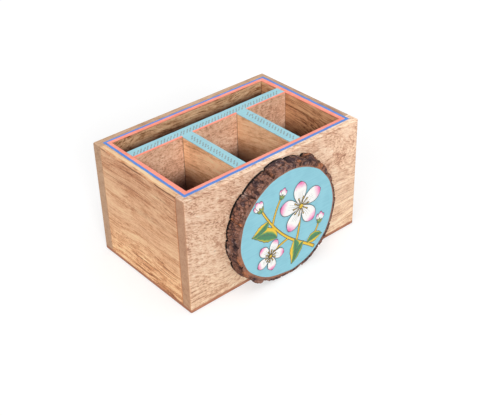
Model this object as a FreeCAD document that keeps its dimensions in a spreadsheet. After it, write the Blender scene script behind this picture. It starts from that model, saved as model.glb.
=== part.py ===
# Open cutlery box of solid wood boards, with three cutlery wells, a napkin slot behind them
# and a round slice of a branch, bark and all, fixed to the front as a painted medallion.
# Millimetres, +Z up. The origin is the centre of the base's underside; the front faces -Y.

import FreeCAD
import Part
import Sketcher
import math
import os
import re

doc = FreeCAD.newDocument("cutlery_box")
vector = FreeCAD.Vector

# Driving dimensions

DIMENSIONS = [
    ("box_length", 200, "outside length of the box, along X"),
    ("box_depth", 130, "outside depth of the box, along Y"),
    ("box_height", 115, "floor to rim"),
    ("wall_thickness", 12, "boards of the four walls"),
    ("divider_thickness", 12, "boards of the three dividers"),
    ("base_thickness", 4, "panel under the walls"),
    ("napkin_slot_width", 22.5, "clear width of the slot behind the long divider"),
    ("left_well_length", 52, "clear length of the left well, along X"),
    ("middle_well_length", 51, "clear length of the middle well; the right well has what is left"),
    ("outer_round", 1.6, "sanded outside edges of the box"),
    ("rim_ease", 0.4, "eased inside edges of the rim and the dividers"),
    ("pin_width", 1.25, "flat sided headless pins that hold the boards together"),
    ("pin_thickness", 1.0, "the same pins, across their other side"),
    ("pin_length", 30, "length of a headless pin"),
    ("pin_tip", 1.8, "length of a pin's or nail's chisel point"),
    ("pin_sink", 1.5, "depth of a pin below the face it was driven from, filled flush"),
    ("pin_margin", 26, "from the board's top or bottom edge to the nearest pin"),
    ("fastener_clearance", 0.02, "gap on each side of a pin, nail or screw in its hole"),
    ("nail_width", 1.25, "flat sided nails of the base"),
    ("nail_thickness", 1.0, "the same nails, across their other side"),
    ("nail_length", 22, "length of a base nail with its head"),
    ("nail_head_width", 2.4, "head of a base nail, as thick as its shank"),
    ("nail_head_height", 0.8, "head of a base nail"),
    ("nail_margin", 22, "from a wall's end to the nearest base nail"),
    ("slice_width", 109.5, "heartwood of the slice, across X"),
    ("slice_oval", 3.3, "how much less the heartwood measures along Z"),
    ("slice_thickness", 16, "slice, along Y"),
    ("slice_offset", 1.4, "from the middle of the box to the slice's, towards -X"),
    ("slice_floor_gap", 0.4, "from the floor to the lowest bark"),
    ("bark_thickness", 4.4, "usual thickness of the bark"),
    ("bark_bulge", 0.2, "how far a plate of bark swells between the slice's faces"),
    ("furrow_width", 2.2, "furrow between two plates of bark, at the outside"),
    ("furrow_wander", 2.4, "how far a furrow strays sideways on its way to the front"),
    ("screw_diameter", 3.5, "wood screws that hold the slice"),
    ("screw_length", 22, "length of a slice screw with its head"),
    ("screw_tip", 3, "length of a slice screw's point"),
    ("screw_head_diameter", 7, "countersunk head of a slice screw"),
    ("screw_head_height", 2.2, "countersunk head of a slice screw"),
    ("screw_spacing", 28, "between the two slice screws, along X"),
]

# Counts, and the bark's plates as they follow each other round the slice

CORNER_PIN_COUNT = 3
DIVIDER_PIN_COUNT = 2
LONG_WALL_NAIL_COUNT = 4
SHORT_WALL_NAIL_COUNT = 2
LONG_DIVIDER_NAIL_COUNT = 3
CROSS_DIVIDER_NAIL_COUNT = 2

# Each plate of bark: the angle of the furrow where it starts, counted from +X towards +Z,
# and how thick its crown is compared with bark_thickness.
PLATES = [
    (2, 0.62), (20, 0.85), (36, 1.35), (49, 1.85), (62, 1.10), (82, 1.25), (106, 0.85), (132, 1.10),
    (158, 0.85), (178, 1.10), (203, 1.60), (223, 1.45), (240, 0.80), (262, 0.64), (285, 1.15), (312, 1.12),
    (334, 0.70),
]
LOWEST_PLATE_SHARE = 0.64

# Plates whose crown rolls over towards the sawn front, by their angle, and their share there.
ROLLED_PLATES = {36: 1.20, 49: 1.15, 203: 1.30}
SHOULDER_SHARE = 0.72
FURROW_SHARE = 0.35

# Levels through the slice, from 0 at the back to 1 at the front, and the bark's share there.
BARK_LEVELS = [(0, 0.85), (0.3, 0.95), (0.75, 1.0), (1, 0.95)]

sheet = doc.addObject("Spreadsheet::Sheet", "Dimensions")
for row, (alias, value, note) in enumerate(DIMENSIONS, start=1):
    sheet.set(f"A{row}", alias)
    sheet.set(f"B{row}", str(value))
    sheet.setAlias(f"B{row}", alias)
    sheet.set(f"C{row}", note)
doc.recompute()

# Lengths that several pieces share, written in terms of the sheet

WALL_HEIGHT = "(box_height - base_thickness)"
INNER_LENGTH = "(box_length - 2 * wall_thickness)"
INNER_DEPTH = "(box_depth - 2 * wall_thickness)"
CROSS_LENGTH = f"({INNER_DEPTH} - napkin_slot_width - divider_thickness)"
INNER_LEFT = "(wall_thickness - box_length / 2)"
INNER_FRONT = "(wall_thickness - box_depth / 2)"
LONG_DIVIDER_FRONT = f"({INNER_FRONT} + {CROSS_LENGTH})"
LEFT_CROSS_START = f"({INNER_LEFT} + left_well_length)"
RIGHT_CROSS_START = f"({LEFT_CROSS_START} + divider_thickness + middle_well_length)"
PIN_HOLE = ("(pin_thickness + 2 * fastener_clearance)", "(pin_width + 2 * fastener_clearance)")
PIN_IN_WALL = "(wall_thickness - pin_sink)"
PIN_IN_DIVIDER = "(divider_thickness - pin_sink)"
NAIL_HOLE = ("(nail_width + 2 * fastener_clearance)", "(nail_thickness + 2 * fastener_clearance)")
NAIL_HEAD_HOLE = ("(nail_head_width + 2 * fastener_clearance)", NAIL_HOLE[1])
NAIL_IN_WALL = "(nail_length - base_thickness)"
SLICE_BACK = "(-box_depth / 2)"
SLICE_MIDDLE = "(-slice_offset)"
SLICE_HALF_WIDTH = "(slice_width / 2)"
SLICE_HALF_HEIGHT = "((slice_width - slice_oval) / 2)"
SLICE_CENTRE = f"({SLICE_HALF_HEIGHT} + {LOWEST_PLATE_SHARE} * bark_thickness + bark_bulge + slice_floor_gap)"


def on_sheet(formula):
    # A formula's own names become cells of the sheet.
    return re.sub(r"[a-z]+(_[a-z]+)+", lambda name: "Dimensions." + name.group(), formula)


def size(formula):
    # A formula's value now, for shapes that are made by code.
    return float(sheet.evalExpression(formula))


def bind(thing, path, formula):
    thing.setExpression(path, on_sheet(formula))


def place(thing, x, y, z):
    for axis, formula in zip("xyz", (x, y, z)):
        bind(thing, f"Placement.Base.{axis}", formula)


def spread(first, last, count):
    # Formulas of evenly spaced places from the first to the last.
    step = f"(({last}) - ({first})) / {count - 1}"
    return [f"({first}) + {index} * {step}" for index in range(count)]


# Bodies, sketches and features

def new_body(label):
    body = doc.addObject("PartDesign::Body", label)
    body.Label = label
    return body


def new_sketch(body, plane, offset="0"):
    sketch = body.newObject("Sketcher::SketchObject", f"{body.Name}_sketch")
    support = [part for part in body.Origin.OriginFeatures if part.Role == plane][0]
    sketch.AttachmentSupport = (support, [""])
    sketch.MapMode = "FlatFace"
    bind(sketch, "AttachmentOffset.Base.z", offset)
    return sketch


def constrain(sketch, name, constraint, formula):
    sketch.renameConstraint(sketch.addConstraint(constraint), name)
    bind(sketch, f"Constraints.{name}", formula)


def draw_loop(sketch, corners):
    # Straight sides from corner to corner, joined end to end; gives the number of the first.
    first = sketch.GeometryCount
    count = len(corners)
    for index in range(count):
        sketch.addGeometry(Part.LineSegment(corners[index], corners[(index + 1) % count]))
    for index in range(count):
        following = first + (index + 1) % count
        sketch.addConstraint(Sketcher.Constraint("Coincident", first + index, 2, following, 1))
    return first


def draw_rectangle(sketch, width, height, left="0", low="0"):
    near = vector(size(left), size(low))
    far = near + vector(size(width), size(height))
    first = draw_loop(sketch, [near, vector(far.x, near.y), far, vector(near.x, far.y)])
    for side in (first, first + 2):
        sketch.addConstraint(Sketcher.Constraint("Horizontal", side))
        sketch.addConstraint(Sketcher.Constraint("Vertical", side + 1))
    at_x = Sketcher.Constraint("DistanceX", -1, 1, first, 1, near.x)
    at_y = Sketcher.Constraint("DistanceY", -1, 1, first, 1, near.y)
    wide = Sketcher.Constraint("DistanceX", first, 1, first, 2, size(width))
    high = Sketcher.Constraint("DistanceY", first + 1, 1, first + 1, 2, size(height))
    constrain(sketch, f"left_{first}", at_x, left)
    constrain(sketch, f"low_{first}", at_y, low)
    constrain(sketch, f"width_{first}", wide, width)
    constrain(sketch, f"height_{first}", high, height)


def draw_slots(sketch, centres, slot):
    # Rectangles of one size round the given centres.
    width, height = slot
    for x, y in centres:
        draw_rectangle(sketch, width, height, f"({x} - {width} / 2)", f"({y} - {height} / 2)")


def draw_circles(sketch, centres, radius):
    for number, (x, y) in enumerate(centres):
        sketch.addGeometry(Part.Circle(vector(size(x), size(y)), vector(0, 0, 1), size(radius)))
        at_x = Sketcher.Constraint("DistanceX", -1, 1, number, 3, size(x))
        at_y = Sketcher.Constraint("DistanceY", -1, 1, number, 3, size(y))
        constrain(sketch, f"across_{number}", at_x, x)
        constrain(sketch, f"along_{number}", at_y, y)
        constrain(sketch, f"radius_{number}", Sketcher.Constraint("Radius", number, size(radius)), radius)


def cut_holes(body, plane, centres, section, depth, offset="0", reverse=False):
    # Slots of a width and height, or round holes of a radius, cut from a plane of the body,
    # and a check that each really cuts.
    doc.recompute()
    before = body.Shape.Volume
    sketch = new_sketch(body, plane, offset)
    if isinstance(section, tuple):
        draw_slots(sketch, centres, section)
        area = size(section[0]) * size(section[1])
    else:
        draw_circles(sketch, centres, section)
        area = math.pi * size(section) ** 2
    pocket = body.newObject("PartDesign::Pocket", f"{body.Name}_holes")
    pocket.Profile = sketch
    pocket.Reversed = reverse
    bind(pocket, "Length", depth)
    doc.recompute()
    removed = before - body.Shape.Volume
    expected = len(centres) * area * size(depth)
    if abs(removed - expected) > 0.02 * expected:
        raise ValueError(f"{body.Label}: holes took {removed:.2f} mm3, not {expected:.2f}")


def edges_between(shape, faces):
    # Names of the straight edges where two of the named outside faces meet.
    box = shape.BoundBox
    planes = {
        "left": ("x", box.XMin), "right": ("x", box.XMax), "front": ("y", box.YMin),
        "back": ("y", box.YMax), "bottom": ("z", box.ZMin), "top": ("z", box.ZMax),
    }
    found = []
    for number, edge in enumerate(shape.Edges, start=1):
        on = 0
        for axis, value in (planes[face] for face in faces):
            on += all(abs(getattr(end.Point, axis) - value) < 1e-6 for end in edge.Vertexes)
        if on >= 2:
            found.append(f"Edge{number}")
    return found


def ease(body, base, faces, radius):
    doc.recompute()
    fillet = body.newObject("PartDesign::Fillet", f"{body.Name}_round")
    fillet.Base = (base, edges_between(base.Shape, faces))
    bind(fillet, "Radius", radius)
    doc.recompute()
    return fillet


def add_board(label, along_x, along_y, along_z, corner, outside=(), inside=()):
    # A board with one corner at the given place. Edges between its outside faces are rounded
    # as the box's outside is; each inside pair of faces gets the finer rim easing.
    body = new_body(label)
    outline = new_sketch(body, "XY_Plane")
    draw_rectangle(outline, along_x, along_y)
    board = body.newObject("PartDesign::Pad", f"{label}_board")
    board.Profile = outline
    bind(board, "Length", along_z)
    for pair in inside:
        board = ease(body, board, pair, "rim_ease")
    if outside:
        ease(body, board, outside, "outer_round")
    place(body, *corner)
    return body


# Places of the fasteners, shared by the holes and by what sits in them

CORNER_PIN_HEIGHTS = spread("pin_margin", f"{WALL_HEIGHT} - pin_margin", CORNER_PIN_COUNT)
DIVIDER_PIN_HEIGHTS = spread("pin_margin", f"{WALL_HEIGHT} - pin_margin", DIVIDER_PIN_COUNT)
HALF_WALL = "(wall_thickness / 2)"
HALF_DIVIDER = "(divider_thickness / 2)"
LONG_DIVIDER_MIDDLE = f"({CROSS_LENGTH} + {HALF_DIVIDER})"
CROSS_MIDDLES = [f"({start} + {HALF_DIVIDER})" for start in (LEFT_CROSS_START, RIGHT_CROSS_START)]
LONG_NAILS = spread("nail_margin", "box_length - nail_margin", LONG_WALL_NAIL_COUNT)
SHORT_NAILS = spread("nail_margin", f"{INNER_DEPTH} - nail_margin", SHORT_WALL_NAIL_COUNT)
LONG_DIVIDER_NAIL_PLACES = spread("nail_margin", f"{INNER_LENGTH} - nail_margin", LONG_DIVIDER_NAIL_COUNT)
CROSS_DIVIDER_NAIL_PLACES = spread("nail_margin", f"{CROSS_LENGTH} - nail_margin", CROSS_DIVIDER_NAIL_COUNT)
SCREW_PLACES = [f"({SLICE_MIDDLE} + {side} * screw_spacing / 2)" for side in (-1, 1)]


def grid(columns, rows):
    return [(column, row) for column in columns for row in rows]


def pin_depth(driven_through):
    return f"(pin_length - {driven_through})"


# Walls

WALL_COLUMNS = [HALF_WALL, f"(box_length - {HALF_WALL})"]
CROSS_COLUMNS = [f"({middle} + box_length / 2)" for middle in CROSS_MIDDLES]
SCREW_HEIGHT = f"({SLICE_CENTRE} - base_thickness)"
SCREW_CENTRES = [(f"({x} + box_length / 2)", SCREW_HEIGHT) for x in SCREW_PLACES]
SCREW_HOLE_RADIUS = "(screw_diameter / 2 + fastener_clearance)"


def add_front_board():
    board = add_board(
        "front_board", "box_length", "wall_thickness", WALL_HEIGHT,
        ("-box_length / 2", "-box_depth / 2", "base_thickness"),
        outside=("left", "right", "front", "top"), inside=[("back", "top")],
    )
    pins = grid(WALL_COLUMNS, CORNER_PIN_HEIGHTS) + grid(CROSS_COLUMNS, DIVIDER_PIN_HEIGHTS)
    cut_holes(board, "XZ_Plane", pins, PIN_HOLE, PIN_IN_WALL, offset="-wall_thickness", reverse=True)
    nails = [(x, HALF_WALL) for x in LONG_NAILS]
    cut_holes(board, "XY_Plane", nails, NAIL_HOLE, NAIL_IN_WALL, reverse=True)
    cut_holes(board, "XZ_Plane", SCREW_CENTRES, SCREW_HOLE_RADIUS, "wall_thickness")
    sink_screw_heads(board)
    return board


def sink_screw_heads(board):
    # Countersinks on the inner face: half a screw head's section turned about each screw's line.
    wide = "(screw_head_diameter / 2 + fastener_clearance)"
    bottom = "(wall_thickness - screw_head_height)"
    along = ["wall_thickness", "wall_thickness", bottom, bottom]
    for x, z in SCREW_CENTRES:
        doc.recompute()
        before = board.Shape.Volume
        sketch = new_sketch(board, "XY_Plane", z)
        across = [x, f"({x} + {wide})", f"({x} + {SCREW_HOLE_RADIUS})", x]
        draw_loop(sketch, [vector(size(u), size(v)) for u, v in zip(across, along)])
        for corner, (u, v) in enumerate(zip(across, along)):
            at_x = Sketcher.Constraint("DistanceX", -1, 1, corner, 1, size(u))
            at_y = Sketcher.Constraint("DistanceY", -1, 1, corner, 1, size(v))
            constrain(sketch, f"across_{corner}", at_x, u)
            constrain(sketch, f"along_{corner}", at_y, v)
        groove = board.newObject("PartDesign::Groove", f"{board.Name}_countersink")
        groove.Profile = sketch
        groove.ReferenceAxis = (sketch, ["Edge4"])
        groove.Angle = 360
        doc.recompute()
        if board.Shape.Volume >= before:
            raise ValueError("a countersink took nothing")


def add_back_board():
    board = add_board(
        "back_board", "box_length", "wall_thickness", WALL_HEIGHT,
        ("-box_length / 2", "box_depth / 2 - wall_thickness", "base_thickness"),
        outside=("left", "right", "back", "top"), inside=[("front", "top")],
    )
    cut_holes(board, "XZ_Plane", grid(WALL_COLUMNS, CORNER_PIN_HEIGHTS), PIN_HOLE, PIN_IN_WALL)
    nails = [(x, HALF_WALL) for x in LONG_NAILS]
    cut_holes(board, "XY_Plane", nails, NAIL_HOLE, NAIL_IN_WALL, reverse=True)
    return board


def add_side_board(label, corner_x, outside, inside, divider_face, divider_reverse):
    board = add_board(
        label, "wall_thickness", INNER_DEPTH, WALL_HEIGHT, (corner_x, INNER_FRONT, "base_thickness"),
        outside=(outside, "top"), inside=[(inside, "top")],
    )
    ends = [(HALF_WALL, z) for z in CORNER_PIN_HEIGHTS]
    depth = pin_depth(PIN_IN_WALL)
    cut_holes(board, "XZ_Plane", ends, PIN_HOLE, depth)
    cut_holes(board, "XZ_Plane", ends, PIN_HOLE, depth, offset=f"-{INNER_DEPTH}", reverse=True)
    pins = [(LONG_DIVIDER_MIDDLE, z) for z in DIVIDER_PIN_HEIGHTS]
    cut_holes(board, "YZ_Plane", pins, PIN_HOLE, PIN_IN_WALL, offset=divider_face, reverse=divider_reverse)
    nails = [(HALF_WALL, y) for y in SHORT_NAILS]
    cut_holes(board, "XY_Plane", nails, NAIL_HOLE, NAIL_IN_WALL, reverse=True)
    return board


# Base

def nail_places():
    # Every base nail, in the box's own frame.
    places = [(f"{x} - box_length / 2", f"{side} * (box_depth / 2 - {HALF_WALL})")
              for side in (-1, 1) for x in LONG_NAILS]
    places += [(f"{side} * (box_length / 2 - {HALF_WALL})", f"{y} + {INNER_FRONT}")
               for side in (-1, 1) for y in SHORT_NAILS]
    places += [(f"{x} + {INNER_LEFT}", f"{LONG_DIVIDER_MIDDLE} + {INNER_FRONT}")
               for x in LONG_DIVIDER_NAIL_PLACES]
    places += [(middle, f"{y} + {INNER_FRONT}")
               for middle in CROSS_MIDDLES for y in CROSS_DIVIDER_NAIL_PLACES]
    return places


def add_base_board():
    board = add_board(
        "base_board", "box_length", "box_depth", "base_thickness",
        ("-box_length / 2", "-box_depth / 2", "0"),
        outside=("left", "right", "front", "back", "bottom"),
    )
    holes = [(f"({x} + box_length / 2)", f"({y} + box_depth / 2)") for x, y in nail_places()]
    cut_holes(board, "XY_Plane", holes, NAIL_HEAD_HOLE, "nail_head_height", reverse=True)
    through = "(base_thickness - nail_head_height)"
    cut_holes(board, "XY_Plane", holes, NAIL_HOLE, through, offset="nail_head_height", reverse=True)
    return board


# Dividers

def add_long_divider():
    board = add_board(
        "long_divider", INNER_LENGTH, "divider_thickness", WALL_HEIGHT,
        (INNER_LEFT, LONG_DIVIDER_FRONT, "base_thickness"),
        inside=[("front", "top"), ("back", "top")],
    )
    ends = [(HALF_DIVIDER, z) for z in DIVIDER_PIN_HEIGHTS]
    depth = pin_depth(PIN_IN_WALL)
    cut_holes(board, "YZ_Plane", ends, PIN_HOLE, depth, reverse=True)
    cut_holes(board, "YZ_Plane", ends, PIN_HOLE, depth, offset=INNER_LENGTH)
    columns = [f"({middle} - {INNER_LEFT})" for middle in CROSS_MIDDLES]
    cut_holes(board, "XZ_Plane", grid(columns, DIVIDER_PIN_HEIGHTS), PIN_HOLE, PIN_IN_DIVIDER)
    nails = [(x, HALF_DIVIDER) for x in LONG_DIVIDER_NAIL_PLACES]
    cut_holes(board, "XY_Plane", nails, NAIL_HOLE, NAIL_IN_WALL, reverse=True)
    return board


def add_cross_divider(label, start):
    board = add_board(
        label, "divider_thickness", CROSS_LENGTH, WALL_HEIGHT, (start, INNER_FRONT, "base_thickness"),
        inside=[("left", "top"), ("right", "top")],
    )
    ends = [(HALF_DIVIDER, z) for z in DIVIDER_PIN_HEIGHTS]
    cut_holes(board, "XZ_Plane", ends, PIN_HOLE, pin_depth(PIN_IN_WALL))
    rear_depth = pin_depth(PIN_IN_DIVIDER)
    cut_holes(board, "XZ_Plane", ends, PIN_HOLE, rear_depth, offset=f"-{CROSS_LENGTH}", reverse=True)
    nails = [(HALF_DIVIDER, y) for y in CROSS_DIVIDER_NAIL_PLACES]
    cut_holes(board, "XY_Plane", nails, NAIL_HOLE, NAIL_IN_WALL, reverse=True)
    return board


# Slice of a branch on the front

def add_slice_heartwood():
    # An oval disc: an ellipse drawn flat, stood up and extruded towards the front.
    oval = doc.addObject("Part::Ellipse", "slice_oval_line")
    bind(oval, "MajorRadius", SLICE_HALF_WIDTH)
    bind(oval, "MinorRadius", SLICE_HALF_HEIGHT)
    oval.Placement.Rotation = FreeCAD.Rotation(vector(1, 0, 0), 90)
    place(oval, SLICE_MIDDLE, SLICE_BACK, SLICE_CENTRE)
    disc = doc.addObject("Part::Extrusion", "slice_disc")
    disc.Base = oval
    disc.DirMode = "Custom"
    disc.Dir = vector(0, -1, 0)
    disc.Solid = True
    bind(disc, "LengthFwd", "slice_thickness")
    pilots = []
    for number, x in enumerate(SCREW_PLACES, start=1):
        pilot = doc.addObject("Part::Cylinder", f"slice_pilot_{number}")
        bind(pilot, "Radius", SCREW_HOLE_RADIUS)
        bind(pilot, "Height", "screw_length - wall_thickness")
        pilot.Placement.Rotation = FreeCAD.Rotation(vector(1, 0, 0), 90)
        place(pilot, x, SLICE_BACK, SLICE_CENTRE)
        pilots.append(pilot)
    bores = doc.addObject("Part::MultiFuse", "slice_pilots")
    bores.Shapes = pilots
    heartwood = doc.addObject("Part::Cut", "slice_heartwood")
    heartwood.Base = disc
    heartwood.Tool = bores
    heartwood.Label = "slice_heartwood"
    doc.recompute()
    return heartwood, disc


def bark_point(angle, thickness, depth):
    # A point that far outside the heartwood's oval, square to it.
    turn = math.radians(angle)
    half_width = size(SLICE_HALF_WIDTH)
    half_height = size(SLICE_HALF_HEIGHT)
    outward = vector(half_height * math.cos(turn), 0, half_width * math.sin(turn)).normalize()
    on_oval = vector(half_width * math.cos(turn), 0, half_height * math.sin(turn))
    centre = vector(size(SLICE_MIDDLE), size(SLICE_BACK) - depth, size(SLICE_CENTRE))
    return centre + on_oval + outward * thickness


def crown_share(angle, share, level):
    # A plate's share at one level: its own up to the middle of the slice, then towards its share at the front.
    return share + (ROLLED_PLATES.get(angle, share) - share) * max(0, 2 * level - 1)


def bark_outline(level, level_share):
    # The outside of the bark at one level through the slice: crowned plates as arcs, with a
    # V-shaped furrow between each two.
    bark = level_share * size("bark_thickness")
    depth = level * size("slice_thickness")
    swell = size("bark_bulge") * math.sin(math.pi * level)
    degree = math.degrees(1 / size(SLICE_HALF_WIDTH))
    half_gap = degree * size("furrow_width") / 2
    wander = degree * size("furrow_wander")
    starts = [angle + wander * (level - 0.5) * math.sin(2.4 * number)
              for number, (angle, share) in enumerate(PLATES)]
    starts.append(starts[0] + 360)
    shares = [crown_share(angle, share, level) for angle, share in PLATES]
    shares.append(shares[0])
    edges = []
    for number, share in enumerate(shares[:-1]):
        left, right = starts[number], starts[number + 1]
        next_share = shares[number + 1]
        shoulder = SHOULDER_SHARE * share * bark + swell
        first = bark_point(left + half_gap, shoulder, depth)
        crown = bark_point((left + right) / 2, share * bark + swell, depth)
        last = bark_point(right - half_gap, shoulder, depth)
        furrow = bark_point(right, FURROW_SHARE * bark * min(share, next_share), depth)
        following = bark_point(right + half_gap, SHOULDER_SHARE * next_share * bark + swell, depth)
        edges.append(Part.Arc(first, crown, last).toShape())
        edges.append(Part.LineSegment(last, furrow).toShape())
        edges.append(Part.LineSegment(furrow, following).toShape())
    return Part.Wire(edges)


def add_slice_bark(disc):
    # The bark is a skin of plates lofted straight from level to level, less the heartwood it
    # grew on.
    skin = Part.makeLoft([bark_outline(*level) for level in BARK_LEVELS], True, True)
    bark = doc.addObject("Part::Feature", "slice_bark")
    bark.Label = "slice_bark"
    bark.Shape = skin.cut(disc.Shape)
    return bark


# Fasteners

def chisel_pointed(at, direction, wide_side, half_profile, thickness):
    # A flat sided fastener from half its outline, as distances along it and half widths, with
    # its end at a place, its wide side along one direction and its thickness across both.
    outline = half_profile + [(along, -half) for along, half in reversed(half_profile) if half]
    points = [at + direction * along + wide_side * half for along, half in outline]
    across = direction.cross(wide_side).normalize()
    flat = Part.Face(Part.makePolygon(points + points[:1]))
    flat.translate(across * (-thickness / 2))
    return flat.extrude(across * thickness)


def group(label, solids):
    # Like fasteners, each a solid of its own, under one name.
    node = doc.addObject("Part::Feature", label)
    node.Label = label
    node.Shape = Part.makeCompound(solids)
    return node


def pin(at, direction):
    half = size("pin_width / 2")
    length = size("pin_length")
    profile = [(0, half), (length - size("pin_tip"), half), (length, 0)]
    return chisel_pointed(at, direction, vector(0, 0, 1), profile, size("pin_thickness"))


def nail(at, direction):
    head = size("nail_head_width / 2")
    shank = size("nail_width / 2")
    under = size("nail_head_height")
    length = size("nail_length")
    profile = [(0, head), (under, head), (under, shank), (length - size("pin_tip"), shank), (length, 0)]
    return chisel_pointed(at, direction, vector(1, 0, 0), profile, size("nail_thickness"))


def screw(at, direction):
    # Turned from half its outline, as distances along it and radii.
    head = size("screw_head_diameter / 2")
    shank = size("screw_diameter / 2")
    under = size("screw_head_height")
    length = size("screw_length")
    profile = [(0, 0), (0, head), (under, shank), (length - size("screw_tip"), shank), (length, 0)]
    points = [vector(radius, 0, along) for along, radius in profile]
    outline = Part.makePolygon(points + points[:1])
    solid = Part.Face(outline).revolve(vector(0, 0, 0), vector(0, 0, 1), 360)
    solid.Placement = FreeCAD.Placement(at, FreeCAD.Rotation(vector(0, 0, 1), direction))
    return solid


def above_base(height):
    return size(f"{height} + base_thickness")


def add_corner_pins(label, side):
    # Driven through the front board (side -1) or the back board (side 1) into the side boards' ends.
    y = side * size("box_depth / 2 - pin_sink")
    across = size(f"box_length / 2 - {HALF_WALL}")
    heights = [above_base(z) for z in CORNER_PIN_HEIGHTS]
    solids = [pin(vector(x, y, z), vector(0, -side, 0)) for x in (-across, across) for z in heights]
    return group(label, solids)


def add_divider_pins():
    heights = [above_base(z) for z in DIVIDER_PIN_HEIGHTS]
    middles = [size(x) for x in CROSS_MIDDLES]
    outside = size("box_length / 2 - pin_sink")
    behind = size(f"{LONG_DIVIDER_FRONT} + {PIN_IN_DIVIDER}")
    front = size("pin_sink - box_depth / 2")
    line = size(f"{LONG_DIVIDER_MIDDLE} + {INNER_FRONT}")
    ends = [pin(vector(side * outside, line, z), vector(-side, 0, 0)) for side in (-1, 1) for z in heights]
    fronts = [pin(vector(x, front, z), vector(0, 1, 0)) for x in middles for z in heights]
    rears = [pin(vector(x, behind, z), vector(0, -1, 0)) for x in middles for z in heights]
    return [
        group("long_divider_end_pins", ends),
        group("cross_divider_front_pins", fronts),
        group("cross_divider_rear_pins", rears),
    ]


def add_base_nails():
    solids = [nail(vector(size(x), size(y), 0), vector(0, 0, 1)) for x, y in nail_places()]
    return group("base_nails", solids)


def add_slice_screws():
    y = size(INNER_FRONT)
    z = size(SLICE_CENTRE)
    solids = [screw(vector(size(x), y, z), vector(0, -1, 0)) for x in SCREW_PLACES]
    return group("slice_screws", solids)


# The whole box

heartwood, disc = add_slice_heartwood()
nodes = [
    add_front_board(),
    add_back_board(),
    add_side_board("left_side_board", "-box_length / 2", "left", "right", "wall_thickness", False),
    add_side_board("right_side_board", "box_length / 2 - wall_thickness", "right", "left", "0", True),
    add_base_board(),
    add_long_divider(),
    add_cross_divider("left_cross_divider", LEFT_CROSS_START),
    add_cross_divider("right_cross_divider", RIGHT_CROSS_START),
    heartwood,
    add_slice_bark(disc),
    add_corner_pins("front_corner_pins", -1),
    add_corner_pins("back_corner_pins", 1),
    *add_divider_pins(),
    add_base_nails(),
    add_slice_screws(),
]
doc.recompute()

for thing in doc.Objects:
    if "Invalid" in thing.State or "Error" in thing.State:
        raise ValueError(f"{thing.Label} failed: {thing.State}")
for node in nodes:
    if node.Shape.isNull() or not node.Shape.isValid():
        raise ValueError(f"{node.Label} has no valid shape")
    if not node.Shape.Solids:
        raise ValueError(f"{node.Label} has no solid")

os.makedirs("parts", exist_ok=True)
for node in nodes:
    node.Shape.exportStep(os.path.join("parts", f"{node.Label}.step"))
    print(f"{node.Label}: {len(node.Shape.Solids)} solids, {node.Shape.Volume:.0f} mm3")
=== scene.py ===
# Hand-painted mango wood cutlery caddy: boards, painted rims and a bark-edged slice with a blossom spray
import itertools
import math

import bpy
import numpy as np
from mathutils import Matrix, Vector


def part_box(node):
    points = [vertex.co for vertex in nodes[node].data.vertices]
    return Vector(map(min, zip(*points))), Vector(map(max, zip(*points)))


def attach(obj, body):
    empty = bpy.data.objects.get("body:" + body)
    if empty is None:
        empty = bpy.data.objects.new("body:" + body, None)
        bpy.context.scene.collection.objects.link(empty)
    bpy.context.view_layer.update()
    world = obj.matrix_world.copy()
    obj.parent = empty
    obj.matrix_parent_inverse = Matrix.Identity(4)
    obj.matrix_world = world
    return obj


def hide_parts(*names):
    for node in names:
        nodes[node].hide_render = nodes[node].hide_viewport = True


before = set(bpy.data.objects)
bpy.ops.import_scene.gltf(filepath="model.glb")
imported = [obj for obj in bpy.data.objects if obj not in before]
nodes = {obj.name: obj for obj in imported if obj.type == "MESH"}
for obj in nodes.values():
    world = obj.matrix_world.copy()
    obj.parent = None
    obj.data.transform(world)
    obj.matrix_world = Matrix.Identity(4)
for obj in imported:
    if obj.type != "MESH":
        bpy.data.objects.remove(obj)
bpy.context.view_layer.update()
mm = 0.001  # every length below is written in millimetres
noiseSpan = (0.3, 0.7)  # where most values of a noise lie
print("frame loaded:", len(nodes), "nodes")


def nodeBox(name):  # lowest and highest corner of a node, in millimetres
    low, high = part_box(name)
    return np.array(low) / mm, np.array(high) / mm


frontLow, frontHigh = nodeBox("front_board")
backLow, backHigh = nodeBox("back_board")
longLow, longHigh = nodeBox("long_divider")
discLow, discHigh = nodeBox("slice_heartwood")
crossBoxes = {name: nodeBox(name) for name in ("left_cross_divider", "right_cross_divider")}
leftInner, rightInner = nodeBox("left_side_board")[1][0], nodeBox("right_side_board")[0][0]
frontInner, backInner = frontHigh[1], backLow[1]
baseTop = nodeBox("base_board")[1][2]
rimTop, halfLength, halfDepth = float(frontHigh[2]), float(frontHigh[0]), float(backHigh[1])
wallThick = frontInner - frontLow[1]


# Shader nodes

class Wire:  # a node's output, which can be added, taken away and multiplied like a number
    def __init__(self, socket):
        self.socket = socket

    def __add__(self, other):
        return calc("ADD", self, other)

    def __sub__(self, other):
        return calc("SUBTRACT", self, other)

    def __rsub__(self, other):
        return calc("SUBTRACT", other, self)

    def __mul__(self, other):
        return calc("MULTIPLY", self, other)

    def __abs__(self):
        return calc("ABSOLUTE", self)


def treeOf(*values):  # node tree of the first wire among them
    return next(value.socket.id_data for value in values if isinstance(value, Wire))


def feed(socket, value):  # a link where the value is a wire, otherwise a fixed value
    if isinstance(value, Wire):
        socket.id_data.links.new(value.socket, socket)
    else:
        socket.default_value = value


def fill(node, values):  # feeds a node's inputs by their names
    for name, value in values.items():
        feed(node.inputs[name], value)


def addNode(tree, kind, values=(), **settings):  # a node with its settings, and its first inputs fed in order
    node = tree.nodes.new("ShaderNode" + kind)
    for setting, value in settings.items():
        setattr(node, setting, value)
    for socket, value in zip(node.inputs, values):
        feed(socket, value)
    return node


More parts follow.
